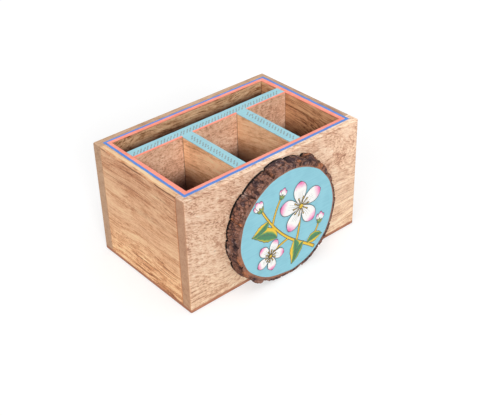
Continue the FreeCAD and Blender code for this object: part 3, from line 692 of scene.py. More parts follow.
def paintDividers():
    # Turquoise along the tops, then a coral strip on the long divider's edge in each well
    strips = dividerPaint["coralStrips"]
    profile = filmProfile(min(strips), longHigh[1] - longLow[1], False, True)
    straightFilm("long_divider_paint", longLow[0], longHigh[0], longLow[1], profile,
                 "divider_paint", "turquoise_paint", dividerPaint["longSeed"])
    rear = longLow[1] + max(strips) + dividerPaint["overlap"]
    for seed, (name, (low, high)) in enumerate(crossBoxes.items(), dividerPaint["crossSeed"]):
        profile = filmProfile(0, high[0] - low[0], True, True) - (0, dividerPaint["underlap"])
        straightFilm(name + "_paint", low[1], rear, low[0], profile,
                     "divider_paint", "turquoise_paint", seed, alongY=True)
    starts = [longLow[0]] + [high[0] for low, high in crossBoxes.values()]
    ends = [low[0] for low, high in crossBoxes.values()] + [longHigh[0]]
    wells = zip(("left", "middle", "right"), starts, ends, strips)
    for seed, (word, start, end, strip) in enumerate(wells, dividerPaint["coralSeed"]):
        profile = filmProfile(0, strip, True, False, dividerPaint["coralDown"])
        profile = profile + (0, dividerPaint["underlap"])
        straightFilm(word + "_well_coral_strip", start, end, longLow[1], profile,
                     "coral_paint", "coral_paint", seed)


paintDividers()


# Slanted strokes along the dividers

strokeBorder = {
    "long": {"pitch": 3.6, "half": 2.65, "lean": 0.80, "jump": 0.35, "shift": -2.0},
    "left_cross_divider": {"pitch": 3.8, "half": 2.25, "lean": -0.70, "jump": -0.75, "shift": 1.1},
    "right_cross_divider": {"pitch": 3.8, "half": 2.4, "lean": -0.62, "jump": -0.40, "shift": -0.5},
    "stroke": 1.50, "film": 0.04, "margin": 1.6, "jitter": 0.24, "halfGap": 0.1,
    "longSeed": 51, "crossSeed": 52,
}


def strokeRow(look, origin, direction, length, seed):
    # Two rows of slanted strokes side by side, the second moved on by a jump, drawn as thin raised bars: a
    # stroke's place along the row grows with its place across by the lean
    rng = np.random.default_rng(seed)
    count = int((length - 2 * strokeBorder["margin"]) / look["pitch"])
    direction = np.array(direction, float)
    side = np.array([-direction[1], direction[0]])
    places = np.repeat(strokeBorder["margin"] + look["pitch"] * (np.arange(count) + 0.5), 2)
    places = places + rng.normal(0, strokeBorder["jitter"], 2 * count)
    row = np.tile([-1.0, 1.0], count)[:, None]
    reach = look["half"] + rng.normal(0, strokeBorder["jitter"], 2 * count)
    halfGap, halfStroke = strokeBorder["halfGap"], strokeBorder["stroke"] / 2
    acrossShare = np.array([0.0, 0.0, 1.0, 1.0])
    edge = halfStroke * np.array([-1, 1, 1, -1])
    across = row * (halfGap + (reach[:, None] - halfGap) * acrossShare)
    along = places[:, None] + look["lean"] * across + 0.5 * look["jump"] * row + edge
    flat = np.array(origin) + along[..., None] * direction + across[..., None] * side
    floor = rimTop + paintFinish["film"] - dividerPaint["underlap"]
    heights = (floor, floor + strokeBorder["film"])
    levels = [np.concatenate([flat, np.full((*flat.shape[:2], 1), height)], axis=-1) for height in heights]
    points = np.concatenate(levels, axis=1)
    bar = np.array([(0, 3, 2, 1), (4, 5, 6, 7), (0, 1, 5, 4), (1, 2, 6, 5), (2, 3, 7, 6), (3, 0, 4, 7)])
    bars = np.where(row[..., None] > 0, bar[None], bar[None, :, ::-1])
    faces = bars + points.shape[1] * np.arange(2 * count)[:, None, None]
    return points.reshape(-1, 3), faces.reshape(-1, 4)


def paintBorders():
    # One double row along the middle of each divider, moved sideways by its shift
    look = strokeBorder["long"]
    middle = (longLow[1] + max(dividerPaint["coralStrips"]) + longHigh[1]) / 2 + look["shift"]
    length = longHigh[0] - longLow[0]
    rows = [strokeRow(look, (longLow[0], middle), (1, 0), length, strokeBorder["longSeed"])]
    for seed, (name, (low, high)) in enumerate(crossBoxes.items(), strokeBorder["crossSeed"]):
        look = strokeBorder[name]
        origin = ((low[0] + high[0]) / 2 - look["shift"], low[1])
        rows.append(strokeRow(look, origin, (0, 1), high[1] - low[1], seed))
    addPiece("divider_border", *joinParts(*zip(*rows)), paints["border_ink"], "motif_paint", smooth=False)


paintBorders()
print("dividers painted")


# Bark ring

barkShape = {
    "plates": [(2, 0.62), (20, 0.85), (36, 1.35), (49, 1.85), (62, 1.10), (82, 1.25), (106, 0.85),
               (132, 1.10), (158, 0.85), (178, 1.10), (203, 1.60), (223, 1.45), (240, 0.80), (262, 0.64),
               (285, 1.15), (312, 1.12), (334, 0.70)],  # start, anticlockwise from the right, and crown share
    "rolled": {36: 1.20, 49: 1.15, 203: 1.30},  # share at the front of the plates that roll over towards it
    "levels": [(0, 0.85), (0.3, 0.95), (0.75, 1.0), (1, 0.95)],  # bark's share from the back to the front
    "thickness": 4.4, "bulge": 0.2, "shoulder": 0.72, "leastBark": 0.5,
    "furrowWidth": 2.2, "furrowWander": 2.4, "furrowTurn": 2.4, "furrow": 0.35,
    "columns": 860, "innerRows": 3, "frontRows": 18, "outerRows": 74, "backRows": 4,
    "lumps": (5.5, 0.50, 7), "knobs": (2.2, 0.40, 8), "grit": (0.8, 0.18, 9),  # cell size, height and seed
    "flakeSize": 2.7, "flakeLength": 2.1, "flakeStep": 0.75, "flakeMargin": 0.1, "flakeSeed": 12,
    "flakeWarp": (2.0, 0.5), "warpSeeds": (18, 19, 20),
    "crackWidth": 0.22, "crackPower": 1.5, "crackDepth": 0.8,
    "bosses": [(55, 0.30, 5.0, 4.5, 1.0), (47, 0.45, 4.0, 4.5, 1.6), (49, 0.95, 4.5, 2.5, 0.9),
               (40, 0.72, 4.0, 4.5, -1.2), (280, 0.8, 6.0, 8.0, 1.1), (313, 0.8, 4.0, 8.0, 1.2),
               (337, 0.8, 3.5, 8.0, 1.0), (0, 0.8, 4.0, 8.0, 1.1)],  # angle, level, half sizes and height
    "tornFrom": [(0, 0.45), (20, 0.25), (40, 0.10), (62, 0.12), (80, 0.22), (100, 0.35), (130, 0.50),
                 (150, 0.68), (170, 0.85), (192, 0.75), (212, 0.50), (232, 0.35), (245, 0.24), (270, 0.18),
                 (300, 0.25), (330, 0.40), (360, 0.45)],  # share of the front past which it is torn, by angle
    "tornFray": (1.6, 0.22, 48), "tornBlend": 0.12, "tornRough": 0.6,
    "tornPits": (1.3, 0.30, 49), "tornDepth": 0.35,
    "calmLevels": 0.30, "calmShare": 0.22, "rearLevel": 0.04, "rearShare": 0.4, "sawnRise": 3,
    "sawnPits": (0.7, 0.10, 28), "sawnPitsRise": 6, "faceGap": 0.02, "floorGap": 0.05,
    "freshFurrows": [(49, 0.5), (106, 0.8), (132, 0.35), (156.5, 1.9)],  # angle and amount
    "freshFray": (3.0, 0.9, 38), "freshMiddle": 0.6, "freshWidth": 1.2, "furrowDark": 0.6,
    "freshPatches": [(58, 0.28, 3.4, 3.0), (50, 0.50, 3.2, 3.0), (49, 0.97, 4.0, 2.0), (76, 0.85, 2.0, 2.0),
                     (194, 1.0, 7.0, 1.6), (212, 0.98, 6.0, 1.6)],  # angle, level, half sizes
    "palePatches": [(133, 0.25, 2.6, 2.6), (186, 0.3, 2.5, 3.0)],
    "darkPatches": [(176, 0.62, 5.5, 4.0), (140, 0.5, 3.5, 3.5), (100, 0.5, 8.0, 7.0), (72, 0.5, 7.0, 7.0)],
    "lightPatches": [(152, 0.55, 7.0, 6.0), (126, 0.6, 6.0, 5.0)],
}
latticeSide, flakeSide = 61, 37  # cells before the noises repeat
sliceCentre = (discLow + discHigh) / 2
ovalHalf = ((discHigh - discLow) / 2)[[0, 2]]
sliceBack, sliceFront = discHigh[1], discLow[1]


def latticeNoise(points, cell, seed):
    # Value noise of -1 to 1: seeded numbers on a lattice of that cell size, blended smoothly between corners
    table = np.random.default_rng(seed).uniform(-1, 1, (latticeSide,) * 3)
    place = points / cell
    base = np.floor(place).astype(int)
    share = place - base
    share = share * share * (3 - 2 * share)
    total = np.zeros(points.shape[:-1])
    for corner in itertools.product((0, 1), repeat=3):
        near = (base + corner) % latticeSide
        weight = np.where(corner, share, 1 - share).prod(axis=-1)
        total += weight * table[near[..., 0], near[..., 1], near[..., 2]]
    return total


def flakes(points, cell, seed):
    # Cells round seeded points: how far the nearest point is ahead of the second, and each cell's own number
    rng = np.random.default_rng(seed)
    margin = barkShape["flakeMargin"]
    offset = rng.uniform(margin, 1 - margin, (flakeSide, flakeSide, flakeSide, 3))
    own = rng.uniform(-1, 1, (flakeSide,) * 3)
    place = points / cell
    base = np.floor(place).astype(int)
    nearest = np.full(points.shape[:-1], np.inf)
    second = nearest.copy()
    label = np.zeros_like(nearest)
    for step in itertools.product((-1, 0, 1), repeat=3):
        near = base + step
        index = near % flakeSide
        spot = near + offset[index[..., 0], index[..., 1], index[..., 2]]
        gap = np.linalg.norm(place - spot, axis=-1)
        closer = gap < nearest
        second = np.where(closer, nearest, np.minimum(second, gap))
        label = np.where(closer, own[index[..., 0], index[..., 1], index[..., 2]], label)
        nearest = np.where(closer, gap, nearest)
    return second - nearest, label


def turnFrom(angle, at):  # shortest turn between two angles, in degrees
    return (angle - at + 180) % 360 - 180


def barkThickness(angle, level):
    # Crowned plates between V-shaped furrows that sway from back to front, some plates rolled over towards
    # the front; also how deep in a furrow each place is
    starts, shares = np.array(barkShape["plates"]).T
    fronts = np.array([barkShape["rolled"].get(start, share) for start, share in barkShape["plates"]])
    late = np.clip(2 * level - 1, 0, 1)
    degree = math.degrees(1 / ovalHalf[0])
    sway = degree * barkShape["furrowWander"] * np.sin(barkShape["furrowTurn"] * np.arange(len(starts)))
    furrows = starts + sway * (level[..., None] - 0.5)
    after = (angle[..., None] - furrows) % 360
    plate = after.argmin(axis=-1)
    following = (plate + 1) % len(starts)
    left = after.min(axis=-1)
    right = (np.take_along_axis(furrows, following[..., None], -1)[..., 0] - angle) % 360
    levels, levelShares = np.array(barkShape["levels"]).T
    bark = barkShape["thickness"] * np.interp(level, levels, levelShares)
    swell = barkShape["bulge"] * np.sin(math.pi * level)
    place = 2 * left / (left + right) - 1
    crown = barkShape["shoulder"] + (1 - barkShape["shoulder"]) * (1 - place ** 2)
    nearest = np.where(left < right, plate - 1, following)
    own, neighbour = (shares[k] + (fronts[k] - shares[k]) * late for k in (plate, nearest))
    top = crown * own * bark + swell
    bottom = barkShape["furrow"] * bark * np.minimum(own, neighbour)
    halfGap = degree * barkShape["furrowWidth"] / 2
    out = np.clip(np.minimum(left, right) / halfGap, 0, 1)
    return bottom + (top - bottom) * out * (2 - out), 1 - out


def softOval(angle, level, at, height, along, deep):
    # Bell round an angle and a level of the ring's side: falls with the square of the distance in half sizes
    around = np.radians(turnFrom(angle, at)) * ovalHalf[0] / along
    back = (level - height) * (sliceBack - sliceFront) / deep
    return np.exp(-around ** 2 - back ** 2)


def barkRing():
    # Closed section carried round the oval: up the inner wall, out over the sawn front, back along the rough
    # side. It reaches out by the bark's thickness with lumps, flakes and cracks, calmer near front and back
    counts = [barkShape[rows] for rows in ("innerRows", "frontRows", "outerRows", "backRows")]
    inner, front, side, back = (np.linspace(0, 1, count, endpoint=False) for count in counts)
    level = np.concatenate([inner, np.ones(len(front)), 1 - side, np.zeros(len(back))])
    share = np.concatenate([np.zeros(len(inner)), front, np.ones(len(side)), 1 - back])
    outer = np.repeat([0.0, 0.0, 1.0, 0.0], counts)
    sawn = np.repeat([0.0, 1.0, 0.0, 0.0], counts)
    angle = np.linspace(0, 360, barkShape["columns"], endpoint=False)
    angle, level = np.meshgrid(angle, level, indexing="ij")
    turn = np.radians(angle)
    oval = np.stack([ovalHalf[0] * np.cos(turn), 0 * turn, ovalHalf[1] * np.sin(turn)], axis=-1)
    outward = np.stack([ovalHalf[1] * np.cos(turn), 0 * turn, ovalHalf[0] * np.sin(turn)], axis=-1)
    outward /= np.linalg.norm(outward, axis=-1, keepdims=True)
    thickness, inFurrow = barkThickness(angle, level)
    for *form, swelling in barkShape["bosses"]:
        thickness = thickness + swelling * softOval(angle, level, *form)
    depth = (sliceBack - sliceFront) * level
    skin = oval + outward * thickness[..., None] - np.array([0, 1, 0]) * depth[..., None]

    def fray(cell, amount, seed):  # a noise of that cell size and height over the bark's skin
        return amount * latticeNoise(skin, cell, seed)

    rough = sum(fray(*barkShape[size]) for size in ("lumps", "knobs", "grit"))
    longways = skin * (1, 1 / barkShape["flakeLength"], 1)
    warp = [fray(*barkShape["flakeWarp"], seed) for seed in barkShape["warpSeeds"]]
    ahead, flake = flakes(longways + np.stack(warp, axis=-1), barkShape["flakeSize"], barkShape["flakeSeed"])
    crack = np.clip(1 - ahead / barkShape["crackWidth"], 0, 1) ** barkShape["crackPower"]
    rough += barkShape["flakeStep"] * 0.5 * flake - barkShape["crackDepth"] * crack
    tornFrom = np.interp(angle, *np.array(barkShape["tornFrom"]).T)
    torn = np.clip((share + fray(*barkShape["tornFray"]) - tornFrom) / barkShape["tornBlend"], 0, 1)
    calm, tornRough = barkShape["calmShare"], barkShape["tornRough"]
    lively = np.maximum(np.clip((1 - level) / barkShape["calmLevels"], calm, 1), tornRough * torn) * outer
    lively += (calm + (tornRough - calm) * torn) * sawn * share ** barkShape["sawnRise"]
    lively *= np.where(level < barkShape["rearLevel"], barkShape["rearShare"], 1.0)
    spread = np.maximum(thickness + rough * lively, barkShape["leastBark"]) * share
    points = oval + outward * spread[..., None]
    pits = np.abs(fray(*barkShape["sawnPits"])) * sawn * np.clip(barkShape["sawnPitsRise"] * share, 0, 1)
    pits += sawn * torn * (barkShape["tornDepth"] + fray(*barkShape["tornPits"]))
    points[..., 1] = pits + barkShape["faceGap"] - depth
    points += (sliceCentre[0], sliceBack, sliceCentre[2])
    points[..., 1] = np.minimum(points[..., 1], sliceBack - barkShape["faceGap"])
    points[..., 2] = np.maximum(points[..., 2], barkShape["floorGap"])

    def patches(name):  # soft ovals, given by angle, level and half sizes along and across
        return np.max([softOval(angle, level, *place) for place in barkShape[name]], axis=0) * (outer + sawn)

    furrows, amounts = np.array(barkShape["freshFurrows"]).T
    frayed = np.clip(barkShape["freshMiddle"] + fray(*barkShape["freshFray"]), 0, 1)
    near = np.exp(-(turnFrom(angle[..., None], furrows) / barkShape["freshWidth"]) ** 2)
    fresh = np.minimum(frayed * (amounts * near).max(axis=-1), 1) * (outer + sawn * share)
    layers = {
        # the crack layer also marks the furrows, for their painted shade
        "crack": np.maximum(crack, barkShape["furrowDark"] * inFurrow) * outer, "flake": flake, "torn": torn,
        "fresh": np.maximum(fresh, patches("freshPatches")), "worn": patches("palePatches"),
        "plum": patches("darkPatches") - patches("lightPatches"),
        "sawn": sawn + 0 * angle, "across": share + 0 * angle, "level": level,
    }
    return points.reshape(-1, 3), gridFaces(*angle.shape, True, True), layers


barkLook = {
    "plum": (74, 53, 55), "russet": (140, 97, 80), "dark": (46, 32, 33), "pale": (176, 152, 143),
    "fresh": (190, 120, 80), "sawn": (146, 107, 93), "sawnDark": (100, 71, 62), "cambium": (176, 124, 96),
    # near black for the painted shade and shadow (rear), and for the rims of breaks
    "rear": (14, 10, 10), "specular": 0.25, "relief": (0.25, 0.8),
    "noises": {"coarse": (4, 4, 3.0, 0.6), "fine": (1.5, 1.5, 3.0, 0.6), "broad": (9, 9)},
    "steps": {  # smooth steps between two values, with the shares there where they aren't nil and full
        "russet": (0.34, 0.56), "mottled": (0.47, 0.30, 0.0, 0.7), "pits": (0.44, 0.34, 0.0, 0.6),
        "specks": (0.53, 0.66), "speckled": (0.36, 0.56), "broken": (0.30, 0.55),
        "breakStart": (0.08, 0.22), "breakEnd": (0.50, 0.34), "rear": (0.18, 0.11),
        "sawnDark": (0.40, 0.66), "sawnPits": (0.46, 0.34, 0.0, 0.55), "cambium": (0.16, 0.04),
        "smoothed": (0.90, 0.98), "roughness": (*noiseSpan, 0.72, 0.95),
    },
    "flakeMottle": 0.16, "flakePatch": 0.10, "plumPatch": 0.16, "speckShare": 0.6, "breakRim": 0.6,
    "crackShare": 0.75, "sawnBreaks": 0.6, "ragged": 0.4,
}


def barkMaterial(layerNames):
    # Dark flaking outside with pale specks and orange breaks, reddish sawn front with an orange inner line;
    # cracks and furrows get painted shade in near black, and the back edge against the board a painted shadow
    material, tree, shader = newMaterial("rough_bark")
    layer = {name: attribute(tree, name) for name in layerNames}
    place = objectPlace(tree)
    coarse, fine, broad = (noise(place, *size) for size in barkLook["noises"].values())

    def step(name, value):  # smooth step of that name
        return between(value, *barkLook["steps"][name])

    mottled = layer["flake"] * barkLook["flakeMottle"] + coarse
    patch = layer["flake"] * barkLook["flakePatch"] + broad - layer["plum"] * barkLook["plumPatch"]
    specks = step("specks", fine) * step("speckled", mottled) * barkLook["speckShare"]
    broken = layer["fresh"] * step("broken", fine)
    breakRim = step("breakStart", layer["fresh"]) * step("breakEnd", layer["fresh"]) * barkLook["breakRim"]
    outside = over(step("russet", patch), barkLook["plum"], barkLook["russet"])
    for factor, colour in (
            (step("mottled", mottled), "dark"), (calc("MAXIMUM", specks, layer["worn"]), "pale"),
            (step("pits", fine), "dark"), (broken, "fresh"), (breakRim, "rear"),
            # painted shade in cracks and furrows, and a painted shadow along the back edge
            (layer["crack"] * barkLook["crackShare"], "rear"), (step("rear", layer["level"]), "rear")):
        outside = over(factor, outside, barkLook[colour])
    face = over(step("sawnDark", coarse), barkLook["sawn"], barkLook["sawnDark"])
    for factor, colour in (
            (step("sawnPits", fine), "dark"), (broken * barkLook["sawnBreaks"], "fresh"),
            (step("cambium", layer["across"]), "cambium")):
        face = over(factor, face, barkLook[colour])
    ragged = (coarse - 0.5) * barkLook["ragged"] + layer["level"]
    smoothed = calc("MAXIMUM", layer["sawn"], step("smoothed", ragged)) * (1.0 - layer["torn"])
    fill(shader, {"Base Color": mixColour(smoothed, outside, face), "Roughness": step("roughness", fine),
                  "Specular IOR Level": barkLook["specular"]})
    bump(shader, fine, *barkLook["relief"])
    return material


barkPoints, barkFaces, barkLayers = barkRing()
bark = addPiece("bark_ring", barkPoints, barkFaces, barkMaterial(barkLayers), "bark", barkLayers)
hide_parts("slice_bark")
print("bark grown:", len(bark.data.polygons), "faces")


# Painted face of the slice

slicePaint = {
    "edge": [(0, -0.4), (24, -0.1), (36, -0.9), (48, 0.1), (60, -0.6), (78, 0.1), (96, -0.3), (114, 0.3),
             (138, -0.7), (150, 0.0), (168, -0.4), (186, -0.1), (210, 0.2), (228, -0.6), (240, -1.2),
             (250, -1.5), (260, -1.3), (268, -0.8), (276, 0.1), (294, 0.8), (312, 0.9), (324, 0.6),
             (332, -0.2), (346, -0.5), (360, -0.4)],  # reach of the paint past the wood, by angle
    "edgePower": 8, "waver": 0.14, "waves": (3, 16), "phases": 6.3, "spread": 3, "seed": 61,
    "film": 0.16, "rows": 22, "columns": 240, "flatShares": (0.03, 0.985),
    "rounding": [(0.993, 0.92), (0.998, 0.6), (1.0, 0.0), (0.99, -0.3)],  # shares of radius and of film
    "uneven": 0.02, "unevenCell": 6.0, "unevenSeed": 62,
}
sliceGrain = {"pale": (164, 110, 80), "dark": (132, 84, 62), "ringTurn": 2.6, "ringShare": 0.12,
              "fibre": (1.2, 1.2, 3.0), "roughness": (0.6, 0.75), "relief": 0.1}


def sliceWood():  # rings about the slice's middle, broken by a fine noise
    material, tree, shader = newMaterial("slice_wood")
    place = objectPlace(tree, -sliceCentre)
    radius = vectorCalc("LENGTH", vectorCalc("MULTIPLY", place, (1, 0, 1)))
    rings = calc("SINE", radius * sliceGrain["ringTurn"])
    grain = rings * sliceGrain["ringShare"] + noise(place, *sliceGrain["fibre"])
    colour = over(between(grain, *noiseSpan), sliceGrain["pale"], sliceGrain["dark"])
    fill(shader, {"Base Color": colour, "Roughness": between(grain, *noiseSpan, *sliceGrain["roughness"])})
    bump(shader, grain, sliceGrain["relief"])
    return material


def paintedDisc():
    # Oval of paint on a polar grid: flat but for brush unevenness, its wavering edge rounded down to the wood
    flatRows, columns = slicePaint["rows"], slicePaint["columns"]
    edgeShares, edgeHeights = np.array(slicePaint["rounding"]).T
    share = np.concatenate([np.linspace(*slicePaint["flatShares"], flatRows), edgeShares])[:, None]
    rows = len(share)
    turn = np.linspace(0, 2 * math.pi, columns, endpoint=False)[None]
    rng = np.random.default_rng(slicePaint["seed"])
    waves = np.arange(*slicePaint["waves"])[:, None, None]
    sizes = rng.normal(0, 1, waves.shape)
    wobble = (sizes * np.sin(waves * turn + rng.uniform(0, slicePaint["phases"], waves.shape))).sum(axis=0)
    past = np.interp(np.degrees(turn), *np.array(slicePaint["edge"]).T)
    past = past + slicePaint["waver"] * wobble / slicePaint["spread"]
    reach = ovalHalf[:, None, None] * share + past * share ** slicePaint["edgePower"]
    x = sliceCentre[0] + reach[0] * np.cos(turn)
    z = sliceCentre[2] + reach[1] * np.sin(turn)
    flat = np.stack([x, 0 * x, z], axis=-1)
    height = slicePaint["film"] * np.concatenate([np.ones(flatRows), edgeHeights])[:, None] + 0 * x
    uneven = slicePaint["uneven"] * latticeNoise(flat, slicePaint["unevenCell"], slicePaint["unevenSeed"])
    height += uneven * (np.arange(rows) < flatRows)[:, None]
    points = flat + np.stack([0 * x, sliceFront - height, 0 * x], axis=-1)
    faces = gridFaces(rows, columns, False, True).tolist() + endFaces(rows, columns)
    return points.reshape(-1, 3), [face[::-1] for face in faces]


dress("slice_heartwood", sliceWood())
addPiece("slice_paint", *paintedDisc(), paints["turquoise_paint"], "turquoise_paint")
print("slice painted")


# Blossom spray on the slice

spray = {
    "film": 0.09, "step": 0.045, "overInk": 0.6, "outline": 0.46, "outlineFilm": 0.8, "leastHalf": 0.06,
    "section": (-1, -0.9, -0.65, -0.33, 0, 0.33, 0.65, 0.9, 1), "crown": 0.88,
    "tuckIn": 0.97, "tuckDown": 0.06,
    "layers": {"twig": 0, "branch": 1, "leaf": 2, "rib": 3.2, "cup": 7, "petal": 9,
               "thread": 18, "tip": 19, "eye": 20},  # heights in steps
    "stations": {"twig": 30, "branch": 60, "leaf": 30, "rib": 8, "petal": 30, "cup": 16, "line": 14,
                 "thread": 10, "tip": 10, "eye": 16},
    "branch": [(31.5, -40), (16, -26), (-8, -18), (-31, 27)], "branchHalf": (1.35, 0.81),
    "twigs": [[(10, -22), (13, -12), (14, 2)], [(-1, -16), (-10, -18), (-20, -22)],
              [(24, -33), (33, -28), (37, -16)], [(-19, 4), (-17, 18), (-9, 30)]], "twigHalf": (0.95, 0.7125),
    "leaves": [((23, -32), 18, 6, 5.0, 0.2), ((-14, -8), 27, 158, 6.8, -0.22), ((7, -21), 25, 262, 6.6, 0.25),
               ((-24, 13), 20, 205, 5.2, 0.25),
               ((18, -28), 19, 232, 5.0, -0.25)],  # base, length, heading, half width and bend
    "leafForm": (0.85, 0.9), "scallop": (0.05, 26), "veinStations": (2, 27), "veinHalf": (0.30, 0.12),
    "ribStations": (7, 12, 17, 22), "ribTurn": 35, "ribLength": 0.62, "ribHalf": (0.22, 0.08),
    "buds": [((-31, 26), 13.0, 118), ((37, -17), 11.5, 76), ((-9, 29), 10.5, 66)],  # base, length and heading
    "budPetals": [(24, 0.86, 3), (-24, 0.86, 4), (0, 1.0, 5)],  # turn, share of the length and layer
    "budBow": -0.004, "budWidth": 0.24, "budBlunt": 0.55,
    "cupTurns": (40, -40, 0), "cupLength": 0.42, "cupWidth": 0.09,
    "blossoms": [((14, 12), 25.0, 18), ((-22, -24), 16.0, 60)],  # centre, radius and turn
    "petals": 5, "petalRise": 1.5, "petalBow": 0.06, "petalWidth": 0.36, "petalBlunt": 0.62,
    "petalForm": (1.25, 0.55),
    "petalLines": (-0.30, 0.0, 0.30), "lineRise": 1.4, "lineLength": 0.62, "lineTurn": 30, "lineBow": 0.1,
    "lineFrom": 3, "lineHalf": (0.16, 0.05),
    "stamens": 10, "threadLength": 0.30, "threadHalf": (0.16, 0.12), "tipLength": (0.055, 0.5),
    "tipHalf": 0.5, "tipRound": 0.25, "eyeHalf": 0.09, "eyeRound": 0.2,
}
sprayLook = {
    "colours": {"white": (252, 250, 247), "blush": (248, 186, 214), "pink": (234, 104, 168),
                "green": (74, 138, 96), "fresh": (150, 176, 78), "yellow": (242, 202, 66),
                "ochre": (214, 164, 44)},
    "petal": [(0.0, "blush"), (0.14, "white"), (0.70, "white"), (0.86, "blush"), (0.98, "pink")],
    "leaf": [(0.10, "green"), (0.52, "green"), (0.70, "fresh"), (0.86, "yellow"), (1.0, "yellow")],
    "stem": [(0.2, "ochre"), (0.5, "yellow"), (0.9, "yellow")],
    "plain": {"ink": (62, 58, 54), "vein": (92, 96, 84), "stamen": (242, 202, 66)},
    "plainPlaces": (0.35, 0.7), "deeper": 0.82, "grain": 1.4, "uneven": 0.16,
    "leafHeart": 0.18, "stemSlope": 0.35, "stemMiddle": 0.42,
    "specular": 0.4, "roughness": (0.42, 0.56), "relief": 0.03,
}


def bezier(points, count):
    # Curve of the weighted sum of its points, with Bernstein weights
    points = np.array(points, float)
    order = len(points) - 1
    share = np.linspace(0, 1, count)[:, None]
    power = np.arange(order + 1)
    choose = np.array([math.comb(order, k) for k in power])
    return (choose * share ** power * (1 - share) ** (order - power)) @ points


def heading(base, length, degrees, bend, count):
    # Curve from a base along a heading, bowed sideways by a share of its length
    along = length * np.array([math.cos(math.radians(degrees)), math.sin(math.radians(degrees))])
    side = np.array([-along[1], along[0]]) * bend
    base = np.array(base, float)
    return bezier([base, base + 0.5 * along + side, base + along], count)


def brushStroke(path, half, lift, swell=1.0):
    # Crowned paint section carried along a path on the slice's face, its half width given at each station
    tangent = np.gradient(path, axis=0)
    tangent /= np.linalg.norm(tangent, axis=1, keepdims=True)
    normal = np.stack([-tangent[:, 1], tangent[:, 0]], axis=1)
    crown = spray["film"] * swell * np.sqrt(1 - spray["crown"] * np.power(spray["section"], 4))
    across = np.append(spray["section"], [spray["tuckIn"], -spray["tuckIn"]])
    height = np.append(crown, [-spray["tuckDown"]] * 2)
    flat = path[:, None] + (half[:, None] * across)[..., None] * normal[:, None]
    depth = np.broadcast_to(sliceFront - slicePaint["film"] - lift - height, flat.shape[:2])
    points = np.stack([flat[..., 0] + sliceCentre[0], depth, flat[..., 1] + sliceCentre[2]], axis=-1)
    size = flat.shape[:2]
    faces = [face[::-1] for face in gridFaces(*size, False, True).tolist() + endFaces(*size)]
    along = np.broadcast_to(np.linspace(0, 1, size[0])[:, None], size)
    return points.reshape(-1, 3), faces, along.ravel(), np.broadcast_to(across, size).ravel()


def outlineStroke(path, half, lift):
    # The same mark drawn wider and longer by the ink's width, to lie under it
    ink = spray["outline"]
    wider = path.copy()
    wider[0] -= ink * (path[1] - path[0]) / np.linalg.norm(path[1] - path[0])
    wider[-1] += ink * (path[-1] - path[-2]) / np.linalg.norm(path[-1] - path[-2])
    return brushStroke(wider, half + ink, lift, spray["outlineFilm"])


def petalHalf(widest, blunt, count):
    # Half width of a petal: rises fast from the base, widest past the middle, drawn in to a soft point
    late, slim = spray["petalForm"]
    share = np.linspace(0, 1, count)
    rise = np.sin(math.pi * share ** late) ** blunt
    return widest * rise * (slim + (1 - slim) * share) + spray["leastHalf"]


def leafHalf(widest, count):
    # Half width of a leaf: an almond, pointed at both ends, with a slightly scalloped margin
    early, full = spray["leafForm"]
    deep, turns = spray["scallop"]
    share = np.linspace(0, 1, count)
    almond = np.sin(math.pi * share ** early) ** full
    return widest * almond * (1 + deep * np.sin(turns * share)) + spray["leastHalf"]


def dotHalf(widest, start, count):  # half width of a dot: a sine from near nil to the widest and back
    return widest * np.sin(np.linspace(start, math.pi - start, count))


